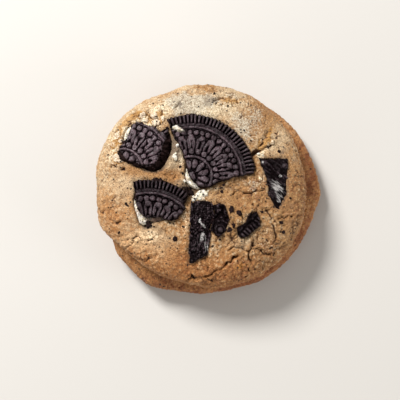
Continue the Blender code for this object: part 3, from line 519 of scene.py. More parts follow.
dough = {
    "rings": 124, "sideRows": 34, "underRows": 3,
    # levels in mm above the underside, and the profile's shape
    "height": 24, "capLevel": 14, "creaseLevel": 9.6, "footLevel": 5, "creaseDepth": 1.1, "footEdge": 3,
    "flatness": 3.2, "roundness": 2.4, "sideBlend": 4,
    # lumps: size, height
    "lumps": ((13, 0.55), (5.5, 0.28)), "lumpSeed": 7,
    # mean radius, lobes as (number round, height, direction), bumps as (direction, reach, height)
    "cap": {"mean": 37.2, "lobes": ((1, 2.8, 168), (2, 1, -28), (3, 0.7, -54)),
        "bumps": ((200, 8, 1.9), (180, 6, -0.8), (162, 8, -0.35), (140, 8, 0.35), (115, 8, -1))},
    "foot": {"mean": 38.4, "lobes": ((1, 0.6, -136), (2, 1.2, 19), (3, 0.7, 1), (4, 0.45, -44)),
        "bumps": ((-2, 8, 1.7), (15, 9, 0.8), (-55, 18, 1.1), (216, 6, 0.7), (238, 8, 1))},
    # where the foot stands higher: direction, reach in degrees, rise
    "footLifts": ((232, 26, 2.4), (-40, 22, 1.5)),
    # broad dents and swells: x, y, reach, rise
    "swells": ((-6.8, -2.6, 4.2, -1.7), (-12.4, 2.6, 4, -0.9), (17.5, 10.6, 3.4, -1.2),
        (-24.5, -15.2, 3.2, -1), (15.6, -2, 5, 0.5), (11, 26, 7, 0.7), (-16, 29, 6, 0.6), (-31, -3, 7, 0.6),
        (-17, -22, 7, 0.6), (13.5, -26.5, 6, 0.6), (29, 17, 6, 0.4)),
    # fine crust: widths of the cells and depths of the relief
    "hairCells": 5, "hairDepth": 0.32, "clodCells": 3.1, "clodHeight": 0.35, "creviceDepth": 0.4,
    "pitCells": 2.1, "pitDepth": 0.5, "grainCells": 1.25, "foldDepth": 0.5, "pleatDepth": 0.25,
    # cracks: depth, half width, run of points
    "cracks": (
        (1, 0.33, [(7.8, -3.8), (11.8, -3.5), (13.3, -4), (15.2, -4.1), (16.2, -3.5), (18.7, -2.9)]),
        (1.6, 0.5, [(-8.4, -33.9), (-6.8, -33.1), (-3.8, -33.3), (-1.7, -32.1), (2.4, -30.7), (4.8, -29.4),
            (5.8, -27.6), (7.6, -27.3), (9.5, -25.9)]),
        (1.3, 0.4, [(7.3, -23.4), (10.4, -22.8), (12, -23.3), (13.5, -24.2), (16.6, -23.4), (17.9, -24),
            (19.1, -25.1), (20.7, -25.1)]),
        (1, 0.35, [(14.1, -24.2), (13.8, -26), (14.4, -27.3), (13.5, -29.1), (14.1, -30.9)]),
        (0.8, 0.3, [(14.8, -20.4), (15.4, -22), (14.6, -23.5)]),
        (0.7, 0.4, [(16.8, -8.2), (19.5, -10.4), (21.7, -12.9), (22.3, -16.1), (23.2, -18.6),
            (22.5, -21.1)]),
        (0.9, 0.33, [(24.2, -12.3), (27.3, -11.9), (29.5, -12.1)]),
        (0.7, 0.33, [(22.8, -23.3), (25.6, -22.3), (27.8, -21.5)]),
        (0.8, 0.4, [(-25.7, -18.8), (-26.8, -20.1), (-27.8, -21.4), (-29.9, -22.8), (-32.2, -22),
            (-34.4, -20.2)]),
        (0.5, 0.25, [(-28.6, -23.6), (-26.5, -26.2), (-23, -27), (-21.4, -26.5), (-18.6, -25.2)]),
        (0.4, 0.25, [(-22.6, -20.6), (-19.8, -20.2), (-17.6, -18.6), (-16.4, -17)]),
        (0.4, 0.25, [(-37.6, -10.4), (-36.6, -7.6), (-33.8, -7), (-31.8, -8.6)]),
        (1.2, 0.45, [(-10.6, 29.8), (-11, 28.6), (-12.1, 27.2)]),
        (0.8, 0.45, [(-32.1, 21.4), (-29.4, 20.9), (-27.2, 23.1), (-25.1, 25)]),
        (0.6, 0.4, [(-17.5, 26.4), (-16.9, 24.5)]),
        (0.7, 0.4, [(-21.9, 25.6), (-21.3, 23.2), (-21.8, 21.3)]),
        (0.9, 0.35, [(-36.1, 6.3), (-33.3, 5.7), (-31.3, 4.9), (-30.3, 4.7)]),
        (0.6, 0.35, [(17, 11.2), (19, 11.9), (21.2, 12.7)]),
        (0.35, 0.5, [(17, 11.8), (18.4, 14.6), (19.4, 16.2), (20.6, 18.4), (21.9, 19.9)]),
        (1.2, 0.75, [(1.5, 29.8), (3.6, 30.7), (5.7, 30.2), (7, 30.4), (8.2, 29.6), (10, 29.3)]),
        (0.8, 0.4, [(2.2, 28.2), (3.6, 30.7), (4.2, 32.3)]),
        (0.8, 0.4, [(6.4, 28.6), (7, 30.4), (8, 31.6)]),
        (0.4, 0.25, [(-39.4, -9), (-37.4, -6.9), (-34.9, -6.2), (-32.5, -5.1)]),
        (0.7, 0.33, [(-34.8, -12.8), (-32.4, -14.2), (-30.6, -13.5)]),
    ),
    # holes and pale flakes: x, y, half length, half width, angle of the length, depth or rise
    "holes": ((15.9, 10.6, 1.9, 0.9, 25, 2), (-7.1, -3.2, 2.2, 1.2, -40, 1.8),
        (-11.2, 21.6, 0.9, 0.5, 60, 0.8), (19.9, 16.9, 3.2, 0.9, 57, 0.62)),
    "flakes": ((-23.7, 24.3, 1.6, 1, 30, 0.55), (-23.1, 22.5, 1.4, 0.9, 0, 0.5),
        (-19.6, 24.4, 1.4, 1.1, 10, 0.6), (-19.1, 21.7, 1.7, 1.2, 10, 0.6), (-16.6, 23.2, 0.8, 1.4, 0, 0.5),
        (-27, 26, 1.2, 0.7, 40, 0.4), (-31.9, 9.1, 2.5, 1.9, 0, 0.45), (-32.8, 17.6, 1.9, 1.2, 60, 0.5),
        (-31.2, 15.2, 1.3, 0.9, 20, 0.4), (-34.2, 14, 1.2, 1.1, 60, 0.35), (-2.6, -6.2, 1.2, 0.8, 30, 0.4),
        (3.4, 28.3, 1.1, 0.6, 10, 0.35), (6.6, 31.8, 1.2, 0.5, -10, 0.35), (8.6, 28, 0.9, 0.5, -20, 0.3),
        (18.2, 14.6, 0.8, 1.1, -20, 0.35), (22, 14.4, 0.7, 1.2, -35, 0.35)),
    # patches of colour: x, y, reach along, reach across, angle of along, strength
    "creamy": ((-21, 22.5, 5.5, 3.2, 20, 0.7), (12, 19.5, 7, 4, -40, 0.3), (19, -19, 6, 4, 30, 0.15),
        (-33, 9.5, 3.5, 2.5, 40, 0.5), (-3, 26.5, 8, 4.5, 0, 0.45), (-16, 28, 5, 3, 10, 0.4),
        (13.5, 26.5, 4, 3, -30, 0.2), (-31.5, 19, 7, 2, 50, 0.5), (-10.5, 9, 1.6, 4.5, 0, 0.5),
        (-21, -19.3, 5.5, 2.3, 10, 0.35), (18, 10, 2, 2, 0, 0.5), (-3, -5.2, 3, 2.2, 30, 0.5),
        (-8.2, -13, 1.2, 5, 0, 0.35), (18, 1.5, 1, 5, -20, 0.3)),
    "ashen": ((-3.5, 29, 6.5, 3.5, -10, 0.85), (-11, 29.5, 5, 3.4, -15, 0.6),
        (-9.5, 26.3, 4.2, 2.6, -15, 0.6), (-31, 6, 4, 6, 0, 0.15), (15.5, -0.4, 3.6, 2, 0, 0.4),
        (31, 9.5, 2.6, 2.2, 60, 0.25), (12, 20, 7, 5, -40, 0.5), (17, 25, 5, 3.5, -40, 0.35),
        (8, 31.5, 5, 2, 0, 0.35), (-12.5, 12, 1.2, 3, 0, 0.3)),
    "dusty": ((28.9, -7.1, 2.2, 2, 30, 0.8), (25.4, 11.4, 1.8, 1.2, 40, 0.9), (-0.5, 30.5, 4, 3, 0, 0.35),
        (4.2, -1.6, 2.6, 1.4, 0, 0.7), (-7.1, -3.2, 3, 2, -40, 0.7), (-33, 9.5, 2.5, 2.5, 0, 0.3),
        (-22, -16.5, 2.5, 2, 0, 0.5), (8, -14, 3.5, 3, 0, 0.4)),
    # sootAndShade: dark biscuit soot in places, and painted shade in the hollows round the block and the
    # quarter
    "sootAndShade": ((-11.8, 11.6, 1.9, 4, 0, 0.75), (-7.3, -3, 2.8, 1.9, -40, 1.1),
        (-0.9, 28.7, 2.8, 2.6, 0, 0.5), (-11.3, 28.4, 0.7, 1.6, 0, 1), (25.4, 11.4, 1.6, 1, 40, 0.55),
        (28.9, -7.1, 2, 1.8, 30, 0.35), (4.2, -1, 2.6, 1, 10, 0.4), (15.2, -0.6, 2.8, 1.2, 0, 0.25),
        (-21.5, -15.6, 1.8, 1, 0, 0.5), (-19, 4.4, 3.5, 0.9, 10, 0.55), (-11.6, 0.4, 2.4, 1, -20, 0.45)),
    "golden": ((-34, -14, 8, 11, 0, 0.55), (-24, -27, 14, 9, -35, 1), (0, -31, 18, 7, 0, 1),
        (-14, 3, 6, 3.5, 0, 0.35), (-8, -16, 5, 9, 0, 0.5)),
    # lighter (below 0) and browner areas: mostly the dough's own tone, with painted shade beside and
    # below the block and in the hollow by the quarter, and painted light at the right edge
    "toneAndShade": ((12, 21, 9, 7, -35, 0.12), (-24, -24, 9, 7, -30, -0.35), (12, -4, 6, 4, 0, 0.3),
        (19, -15, 7, 5, 0, -0.2), (9, -23, 8, 5, 0, -0.3), (-33, -9, 7, 7, 0, 0.02),
        (-33, 1, 5, 3.5, 0, 0.25), (-35, -18.5, 3, 4.5, 0, 0.45), (-12.5, 2, 4.5, 2.6, -15, 0.4),
        (-21, -18, 8, 4, 0, -0.3), (27, 9, 5, 9, 0, -0.12), (-9, -19, 3, 8, 0, -0.1),
        (13, -19.5, 4, 6, 0, -0.4), (25.5, -22, 4, 6, -30, 0.15), (8.5, 28, 5, 4.5, 0, -0.5),
        (20.5, 14, 4.5, 4.5, 0, -0.5), (38.5, -3, 3.5, 8, 0, -0.7), (-13.3, 7, 2.5, 3, 0, -0.3),
        (-10, 27, 4, 3.5, 0, -0.35), (-21, 3.5, 5, 2.2, -10, 0.4), (-27.5, 4.2, 4, 2, -15, 0.45),
        (-25.5, -15.6, 3, 1.6, 0, 0.3)),
    # amberAndShade: the warmer brown of torn crust, and painted shade round the block's foot and in the
    # torn folds
    "amberAndShade": ((-26.5, 24.5, 3.5, 1.4, 40, 0.95), (-16.8, 25, 1, 2.6, 0, 0.9),
        (-32.5, 16, 1.6, 4.5, -20, 0.75), (-21.5, 23.2, 0.8, 2.4, 0, 0.9), (-30.3, 21.2, 3, 1.2, 10, 0.9),
        (17.5, 12.5, 1.6, 2.2, 0, 0.8), (20.6, 16.8, 1.4, 4.2, -25, 0.9), (6, 29.9, 5.5, 1.6, 0, 1),
        (-12.8, 1.4, 3.4, 1.8, -10, 0.3), (-30.5, -27.5, 5, 2, -40, 0.4), (8.6, -12.4, 1.5, 1.2, 0, 0.4),
        (10.5, -29.2, 2.6, 1.8, 20, 0.4)),
}


def bumpsAt(angle, bumps):
    # A bell curve round each direction, in degrees: direction, reach, height.
    degrees = np.degrees(angle)
    return sum(height * bell((degrees - direction + 180) % 360 - 180, reach)
               for direction, reach, height in bumps)


def lobedRadius(outline, angle):
    # The mean, a cosine for each lobe and the bumps.
    radius = outline["mean"] + bumpsAt(angle, outline["bumps"])
    for count, height, direction in outline["lobes"]:
        radius += height * np.cos(count * (angle - math.radians(direction)))
    return radius


def sideRadius(height, cap, foot, lift=0):
    # The cap curls in to the crease, the foot comes out again and rounds in to the underside.
    # Lift raises the foot and the crease.
    creaseLevel, footLevel = dough["creaseLevel"] + lift, dough["footLevel"] + lift
    crease = np.minimum(cap, foot) - dough["creaseDepth"]
    underCap = np.clip((dough["capLevel"] - height) / (dough["capLevel"] - creaseLevel), 0, 1)
    overFoot = np.clip((height - footLevel) / (creaseLevel - footLevel), 0, 1)
    underFoot = np.clip(1 - height / footLevel, 0, 1)
    upper = crease + (cap - crease) * np.sqrt(1 - underCap**2)
    lower = crease + (foot - crease) * np.sqrt(1 - overFoot**2)
    lower = lower - dough["footEdge"] * (1 - np.sqrt(1 - underFoot**2))
    return np.where(height > creaseLevel, upper, lower)


def evenly(radius, height, way):
    # Points at equal steps of length along a profile.
    along = np.concatenate([[0], np.cumsum(np.hypot(np.diff(radius), np.diff(height)))])
    wanted = way * along[-1]
    return np.interp(wanted, along, radius), np.interp(wanted, along, height)


def doughForm(turn, way):
    # The top's profile is capLevel + rise * (1 - r^flatness)^(1/roundness), r being the share
    # of the cap's radius; the side and the flat underside follow it.
    cap, foot = lobedRadius(dough["cap"], turn), lobedRadius(dough["foot"], turn)
    capLevel, capMean = dough["capLevel"], dough["cap"]["mean"]
    steps = np.linspace(0, 1, 600)
    share = 1 - (1 - steps) ** 3
    dome = (1 - share ** dough["flatness"]) ** (1 / dough["roundness"])
    level = capLevel + (dough["height"] - capLevel) * dome
    topRadius, topHeight = evenly(share * capMean, level, np.clip(way, 0, 1))
    topRadius *= cap / capMean
    fall = capLevel * np.cos(steps * math.pi / 2) ** 2
    _, sideHeight = evenly(sideRadius(fall, capMean, dough["foot"]["mean"]), fall, np.clip(way - 1, 0, 1))
    radius = sideRadius(sideHeight, cap, foot, bumpsAt(turn, dough["footLifts"]))
    radius = np.where(way <= 1, topRadius, radius) * np.where(way > 2, 3 - way, 1)
    height = np.where(way <= 1, topHeight, sideHeight)
    return np.stack([radius * np.cos(turn), radius * np.sin(turn), height], axis=1)


def makeDough(material):
    # Lumps and swells move the form's points first, then all finer relief moves them along
    # their normals. The same fields say where each colour of the crust goes. A noise's size in
    # mm is followed by its seed.
    turn, way, quads, fan = lumpGrid(dough["rings"], dough["sideRows"], dough["underRows"])
    points = doughForm(turn, way)
    level = points[:, 2].copy()
    lumps = sum(tall * softNoise(points, size, dough["lumpSeed"] + n)
                for n, (size, tall) in enumerate(dough["lumps"]))
    onTop = np.clip((level - dough["capLevel"]) / dough["sideBlend"], 0, 1)
    offTop = 1 - onTop
    x, y = points[:, 0], points[:, 1]
    swell = sum(rise * bell(np.hypot(x - sx, y - sy), reach) for sx, sy, reach, rise in dough["swells"])
    radius = np.maximum(np.hypot(x, y), 1)
    onSide = np.clip(level / dough["footLevel"], 0, 1) * offTop
    points[:, :2] *= (1 + onSide * lumps / radius)[:, None]
    points[:, 2] += onTop * (lumps + swell)
    normals = cornerNormals(points, quads)
    visible = ease(level, 0.2, 3)  # all but the underside
    upper = ease(level, 11.5, 15.5)  # the cap, down to its widest
    toLowerRight = ease((x - y) / 50, -0.7, 0.9)

    # cracks, their runs bent by noise so that they look torn
    bentX, bentY = pushed((x, y), points, ((0.6, 2), (0.6, 0.9)), (41, 43))
    strength = np.clip(0.75 + 0.8 * softNoise(points, 1.7, 45), 0.15, 1.2)
    cut, crackShade, lip = np.zeros((3, len(x)))
    for depth, halfWidth, run in dough["cracks"]:
        away = distanceToRun(bentX, bentY, run)
        cut = np.maximum(cut, depth * strength * bell(away, max(0.42, 0.8 * halfWidth)))
        lip += 0.2 * bell(away - 1.1, 0.6)
        # crackShade, the darkening of a crack: painted shade
        seen = min(1, 0.4 + 0.7 * depth) * strength
        crackShade = np.maximum(crackShade, seen * bell(away, max(0.26, 0.6 * halfWidth)))
    hole = ease(patchStrength(bentX, bentY, dough["holes"]), 0.25, 1)
    cut = np.maximum(cut, patchStrength(x, y, dough["holes"])) * upper
    crackShade = np.maximum(crackShade, 1.1 * hole) * upper
    # hairline cracks along the borders of cells, in places only, and more to the lower right
    border, _ = bentCells(points, 0.5, 1.6, dough["hairCells"], (46, 51))
    hair = bell(border, 0.26) * ease(softNoise(points, 8, 53), -0.5, 0.2)
    hair *= ease(softNoise(points, 2.4, 54), -0.45, 0.2) * (0.8 + 0.5 * toLowerRight) * upper
    cut = np.maximum(cut, dough["hairDepth"] * hair)
    crackShade = np.maximum(crackShade, (0.8 - 0.32 * toLowerRight) * hair)

    # crumbly clods with crevices between them, most to the lower right
    border, own = bentCells(points, 0.9, 1.9, dough["clodCells"], (56, 59))
    crumbled = ease(softNoise(points, 9, 63) + 0.5 * toLowerRight, -0.1, 0.7) * upper
    crevice = bell(border, 0.35) * ease(softNoise(points, 2, 64), -0.5, 0.3)
    raisedClod = dough["clodHeight"] * (own - 0.5) * (1 - bell(border, 0.5))
    clod = crumbled * (raisedClod - dough["creviceDepth"] * crevice)
    crackShade = np.maximum(crackShade, 0.45 * crumbled * crevice) * (0.85 + 0.15 * toLowerRight)

    # fine crust: wrinkles, pits and grains, then folds that run round the side
    wrinkle = 1 - np.abs(layeredNoise(points, 1.7, 61, 2))
    pitAway, _, pitOwn = nearestSeeds(points, dough["pitCells"], 71)
    pit = ease(pitOwn + 0.2 * toLowerRight, 0.66, 0.74) * bell(pitAway, 0.42)
    grainAway, _, grainOwn = nearestSeeds(points, dough["grainCells"], 76)
    granule = np.clip(1 - (grainAway / 0.85) ** 2, 0, 1) * (0.5 + 0.5 * grainOwn)
    granular = ease(softNoise(points, 7, 78) + 0.4 * toLowerRight, -0.5, 0.4)
    folded = points * (0.16, 0.16, 1) + 0.7 * softNoise(points, 7, 81)[:, None]
    fold = (1 - ease(np.abs(layeredNoise(folded, 1.9, 82, 2)), 0, 0.2)) * offTop
    upright = points * (1, 1, 0.2) + 0.6 * softNoise(points, 4, 84)[:, None]
    pleat = ease(0.16 - np.abs(layeredNoise(upright, 2.4, 86, 2)), 0, 0.16) * offTop * visible
    flake, flakeEdge = np.zeros((2, len(x)))
    ragged = 0.55 * layeredNoise(points, 1.3, 85, 2)
    for *ellipse, rise in dough["flakes"]:
        inside = ragged - np.log(patchStrength(x, y, ((*ellipse, 1),)) + 1e-9)
        flake = np.maximum(flake, rise * ease(1.1 - inside, 0, 0.35) * upper)
        flakeEdge = np.maximum(flakeEdge, bell(inside - 1.3, 0.35) * upper)
    relief = 0.16 * wrinkle + 0.13 * layeredNoise(points, 0.8, 62, 2)
    relief += (0.22 + 0.16 * toLowerRight) * granule * granular
    relief += flake * (0.5 + 0.9 * granule + 0.5 * layeredNoise(points, 0.9, 87, 2)) - 0.55 * flakeEdge
    relief = (relief + clod - dough["pitDepth"] * pit) * visible
    relief += lip * onTop - cut - dough["foldDepth"] * fold * visible - dough["pleatDepth"] * pleat

    # the dough dips under each piece, meets its side and stands up a little round it
    nearPiece, sunk = np.full(len(x), 99.0), np.zeros(len(x))
    for name, piece in {**wafers, **creams}.items():
        away = distanceInto(x, y, piece.get("foot", waferOutline(piece)))
        nearPiece = np.minimum(nearPiece, away)
        inner, outer = (0.1, 0.8) if name in wafers else (-0.4, 0.3)
        sunk = np.maximum(sunk, piece.get("sink", 1.9) * ease(-away, inner, outer))
    relief += np.where(onTop > 0.3, 0.3 * bell(nearPiece - 1.3, 0.9) - sunk, 0)
    points = points + normals * relief[:, None]
    points[:, 2] = np.maximum(points[:, 2], 0)
    points[way > 2, 2] = 0

    # browner on the side, at the foot and underneath, where it baked more; browner also to the lower
    # right, on the side towards the front, in folds and between grains, which is painted shade, and
    # paler on each grain, a painted highlight; the tone patches lay both
    sideways = ease(dough["capLevel"] + 3.5 - level, 0, 9)
    # paintedLitSide: the cap's side towards the upper left, where the light comes from, keeps creamy
    # patches and loses the golden tint, so it is paler: painted light
    paintedLitSide = ease((y - x) / 50, 0.3, 0.8) * upper
    toastAndShade = 0.1 + 0.28 * layeredNoise(points, 9, 91, 2) + (0.16 + 0.16 * toLowerRight) * sideways
    toastAndShade += 0.45 * toLowerRight * (0.4 + 0.6 * onTop)
    toastAndShade += 0.35 * sideways * ease(-y / radius, 0.1, 0.8) + 0.35 * ease(2.5 - level, 0, 2.5)
    toastAndShade += 0.5 * fold + 0.35 * pleat + (0.5 + 0.5 * toLowerRight) * (0.45 - granule) * granular
    toastAndShade += patchStrength(x, y, dough["toneAndShade"]) * (0.5 + 0.5 * onTop)
    warped = pushed((x, y), points, ((1.3, 3), (0.5, 1.1)), (92, 96))
    patchy = ("creamy", "golden", "ashen", "amberAndShade", "dusty", "sootAndShade")
    creamy, *others = [patchStrength(*warped, dough[name]) for name in patchy]
    golden, ashen, amberAndShade, dusty, sootAndShade = [patch * onTop for patch in others]
    peppered = 0.14 * ease(softNoise(points, 6, 95), -0.2, 0.8) + 0.25 * bell(nearPiece, 1.5)
    marks = {
        # crackShade: painted shade in cracks, holes, pits, crevices and round the flakes
        "crackShade": np.clip(crackShade + (0.3 + 0.35 * toLowerRight) * pit + 0.25 * flakeEdge, 0, 1),
        "toastAndShade": toastAndShade,
        "creamy": (creamy + 0.5) * np.maximum(onTop, paintedLitSide) - 0.5,
        "golden": golden + 0.7 * offTop * (1 - paintedLitSide),
        "flaky": 1.9 * np.minimum(flake, 1),
        "ashen": ashen,
        "amberAndShade": amberAndShade + 0.15 * np.clip(crackShade, 0, 1) + 0.3 * hair + 0.8 * flakeEdge,
        "dust": 0.08 + peppered + dusty,
        # and darker right round each piece: painted shade
        "sootAndShade": sootAndShade + 0.4 * bell(nearPiece, 0.7),
    }
    makePiece("doughCrust", points, (quads, fan), material, ["dough"], marks)
    return points


stamp = {
    # ridges round the rim: number, inner and outer radius, height, depth of the grooves
    "ridges": (96, 19.2, 22.4, 0.5, 0.9),
    # rings of the pattern: radius, half width
    "rings": ((0, 1.6), (7, 0.45), (17.5, 0.45)),
    # beads, grains and rays: number round, radius, half length, half width, shift as a share
    # of their pitch, depth of a notch along each
    "mounds": ((45, 15.6, 1.05, 1.05, 0, 0), (24, 11.6, 2.7, 1.45, 0, 0.9), (24, 8.7, 1.1, 1, 0.5, 0),
               (24, 13.7, 1.2, 1.3, 0.5, 0), (12, 4.2, 2.1, 1, 0, 0)),
    "height": 0.88, "wobble": 0.12,
}


def stampedFace(x, y, wafer):
    # Heights in polar form about the biscuit's middle: ridges are a cosine of the angle, and
    # beads, grains, rays and rings are plateaus where 1 - d^2 is above 0, d being an elliptical
    # distance repeated at equal angles. A narrow groove runs round each of them.
    flat = flatPoints(x, y)
    dx = x - wafer["centre"][0] + stamp["wobble"] * softNoise(flat, 1.3, 101)
    dy = y - wafer["centre"][1] + stamp["wobble"] * softNoise(flat, 1.3, 102)
    radius, angle = np.hypot(dx, dy), np.arctan2(dy, dx)
    count, inner, outer, high, deep = stamp["ridges"]
    band = ease(radius, inner - 0.15, inner + 0.25)
    face = band * (ease(np.cos(angle * count), -0.7, 0.35) * (high + deep) - deep)
    face = face * np.where(face > 0, ease(outer + 0.1 - radius, 0, 0.9), 1)
    motif = np.full(len(x), -np.inf)
    for ring, half in stamp["rings"]:
        motif = np.maximum(motif, 1 - ((radius - ring) / half) ** 2)
    for count, ring, long, wide, shift, notch in stamp["mounds"]:
        pitch = math.tau / count
        v = ((angle + shift * pitch) % pitch - pitch / 2) * ring / wide
        mound = 1 - ((radius - ring) / long) ** 2 - v**2
        motif = np.maximum(motif, mound - notch * bell(v, 0.22))
    motif += 0.3 * layeredNoise(flat, 1.1, 103, 2)
    plateau = stamp["height"] * ease(motif, -0.1, 0.4) * (0.8 + 0.2 * motif.clip(0, 1))
    return face + (plateau - 0.4 * bell(motif + 0.25, 0.3)) * (1 - band)


def grainedFace(x, y, wafer):
    # The plain back: fine parallel grooves, a noise stretched along one direction, and crumbs.
    along, across = turned(x, y, wafer["grainTurn"])
    crumbly = np.abs(layeredNoise(flatPoints(x, y), 0.7, 113, 2))
    deep, pitch = wafer["grooves"]
    grooves = layeredNoise(flatPoints(0.22 * along, across), pitch, 111, 2)
    return deep * grooves + wafer["crumbly"] * (crumbly - 0.2)


def curledFace(x, y, wafer):
    # Curved ridges, a cosine of the distance to a small boss at the lower right.
    radius = np.hypot(x - wafer["centre"][0], y - wafer["centre"][1])
    flat = flatPoints(x, y)
    near = ease(5 - radius, 0, 2.2)
    bent = radius + 0.35 * softNoise(flat, 1.7, 117)
    ridges = 0.5 * ease(np.cos((bent - 0.2) * math.tau / 1.6), -0.3, 0.7) * ease(radius, 1.1, 1.5)
    crumbly = (0.3 + 0.5 * (1 - near)) * layeredNoise(flat, 0.9, 115, 2)
    boss = 0.6 * np.sqrt(np.clip(1 - (radius / 1.1) ** 2, 0, 1))
    return ridges * (0.15 + 0.85 * near) + crumbly * ease(radius, 0.6, 1.6) + boss


def toothedFace(x, y, wafer):
    # Short teeth along one edge of a strip of rim, a cosine of the distance along it; the rest
    # is crumbly, with one low ridge.
    along, across = turned(x - wafer["middle"][0], y - wafer["middle"][1], wafer["grainTurn"])
    flat = flatPoints(x, y)
    along = along + 0.25 * softNoise(flat, 1.1, 118)
    teeth = ease(np.cos(along * math.tau / 1.35), -0.5, 0.6)
    band = ease(-0.1 - across, 0, 0.5)
    crumbly = 0.45 * layeredNoise(flat, 1, 119, 2) + 0.4 * bell(across - 0.7, 0.35)
    return 0.85 * teeth * band + crumbly * (1 - 0.7 * band)


def plainFace(x, y, wafer):
    # No relief, as hardly any of it shows.
    return np.zeros(len(x))


faces = {"stamped": stampedFace, "grained": grainedFace, "curled": curledFace, "toothed": toothedFace,
         "plain": plainFace}


def underPlane(node):
    # The plane of a CAD slab's flat underside: the mean facing of its downward triangles,
    # turned up, and its distance from the origin in mm.
    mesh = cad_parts[node].data
    mesh.calc_loop_triangles()
    corners = np.empty(len(mesh.loop_triangles) * 3, np.int32)
    mesh.loop_triangles.foreach_get("vertices", corners)
    places = np.empty(len(mesh.vertices) * 3, np.float32)
    mesh.vertices.foreach_get("co", places)
    tris = (places.reshape(-1, 3)[corners].reshape(-1, 3, 3) / mm).astype(float)
    facing = np.cross(tris[:, 1] - tris[:, 0], tris[:, 2] - tris[:, 0])
    area = np.linalg.norm(facing, axis=1)
    down = facing[:, 2] < -0.8 * np.maximum(area, 1e-9)
    normal = -facing[down].sum(0)
    normal /= np.linalg.norm(normal)
    offset = np.average(tris[down].mean(1) @ normal, weights=area[down])
    return normal, offset


def overPlane(node, x, y, height, level=0):
    # The point over (x, y) of a plane "level" mm above the slab's underside, moved along the
    # slab's normal to its own height above the underside.
    normal, offset = underPlane(node)
    base = (offset + level - normal[0] * x - normal[1] * y) / normal[2]
    return np.stack([x, y, base], axis=1) + normal * (height - level)[:, None]


# Smears of cream on the plain faces, as patches.
smears = {
    "wafer_slab_long": ((-3.5, -13.3, 1.1, 0.4, 70, 1.8), (-2.6, -14.9, 1.2, 0.4, -50, 1.8),
        (-2.6, -18.6, 3.2, 1.3, 75, 1.1), (-1, -22.2, 3.2, 1.4, 85, 1.18)),
    "wafer_wedge": ((22.2, 0.2, 3.2, 2.4, -40, 0.75), (24.8, -3, 4.2, 3, -50, 0.85),
        (24.2, -6.6, 2.8, 2, -50, 0.7), (18.6, 7.2, 0.4, 0.4, 0, 2.6), (24.8, 2.5, 0.5, 0.4, 0, 2.6),
        (25.2, -8.3, 0.5, 0.4, 0, 2.4)),
}


def makeWafer(name, material):
    # The face's relief on top, a side that falls to the underside and is pushed in and out by
    # noise, and torn edges, all but the rim's arc.
    wafer = wafers[name]
    face, thickness = faces[wafer["face"]], wafer["thickness"]
    turn, way, quads, fan = lumpGrid(wafer["rings"], wafer.get("sideRows", 14), 3)
    edge = edgeRadius(waferOutline(wafer), wafer["middle"], turn)
    foot = edgeRadius(wafer["foot"], wafer["middle"], turn) if "foot" in wafer else edge
    ray = np.stack([np.cos(turn), np.sin(turn)], axis=1)
    rim = wafer["middle"] + ray * edge[:, None]
    onRim = np.zeros(len(turn))
    if "arc" in wafer:
        onRim = ease(np.hypot(*(rim - wafer["centre"]).T), waferRadius - 1, waferRadius - 0.3)
    torn = flatPoints(*rim.T)
    edge = edge + (0.28 * softNoise(torn, 1.5, 121) + 0.16 * softNoise(torn, 0.6, 122)) * (1 - onRim)
    down = np.clip(way - 1, 0, 1)
    reach = np.where(way <= 1, way * edge, edge + (foot - edge) * down) * np.where(way > 2, 3 - way, 1)
    x, y = (wafer["middle"] + ray * reach[:, None]).T
    flat = flatPoints(x, y)
    relief = face(x, y, wafer)
    worn = 0.16 * layeredNoise(flat, 0.9, 131, 2) + 0.1 * softNoise(flat, 3, 132)
    inward = (1 - way) * edge
    chips = ease(softNoise(flat, 1.1, 133), 0.25, 0.8) * (1 - onRim)
    drop = 0.3 * bell(inward, 0.25) + 0.7 * chips * bell(inward, 0.6)
    if "bite" in wafer:
        drop += 1.3 * ease(0.5 * softNoise(flat, 1.2, 134) - distanceInto(x, y, wafer["bite"]), -0.2, 0.5)
    side = (thickness + (face(*rim.T, wafer) - 0.3) * (1 - down) ** 2) * (1 - down)
    height = np.where(way <= 1, thickness + relief + worn - drop, side)
    points = overPlane(name, x, y, height, thickness)
    # crumbly broken sides, pushed in and out along the ray, and up where the foot spreads
    crumble = wafer.get("crumble", 0.55) * np.sin(down * math.pi) ** 0.5
    crumble = np.where((way > 1) & (way < 2), crumble, 0)
    points[:, :2] += ray * (crumble * layeredNoise(points, 1.3, 141, 3))[:, None]
    points[:, 2] += crumble * np.abs(layeredNoise(points, 1.1, 144, 3)) * (foot > edge + 0.8)
    # what stands up is painted lighter, a painted highlight varied by a noise of wear, and on a
    # stamped face its floor is in part; the grooves stay dark, as painted shade
    rubbed = 1 + 0.5 * layeredNoise(flat, 2.2, 137, 2)
    level = relief + 0.5 * worn
    floorShare = 0.4 if wafer["face"] == "stamped" else 0
    raisedAndLit = floorShare * ease(level, -0.4, 0.05)
    raisedAndLit += (1 - floorShare) * ease(level, *wafer.get("tops", (0.1, 0.95)))
    # paintedSheen: a painted highlight laid as patches on the face
    paintedSheen = 0.4 * np.clip(patchStrength(x, y, wafer.get("paintedSheen", ())), 0, 1)
    along, across = turned(x, y, wafer.get("grainTurn", 0))
    smear = patchStrength(x, y, smears.get(name, ())) + 0.21 * softNoise(flat, 1.2, 151)
    marks = {
        # paintedShine brightens or dims the painted highlight of each piece
        "raisedAndLit": (rubbed * raisedAndLit + paintedSheen) * (way <= 1) * wafer.get("paintedShine", 1),
        "broken": np.where(way <= 1, ease(drop, 0.15, 0.5) * (1 - onRim), 1 - 0.6 * onRim),
        "smear": np.clip(smear, 0, 2),
        "along": 0.16 * along,
        "across": across + 0.6 * softNoise(flat, 2.6, 152),
    }
    shown = name.replace("wafer_", "biscuit_")
    makePiece(shown, points, (quads, fan), material, [name], marks)
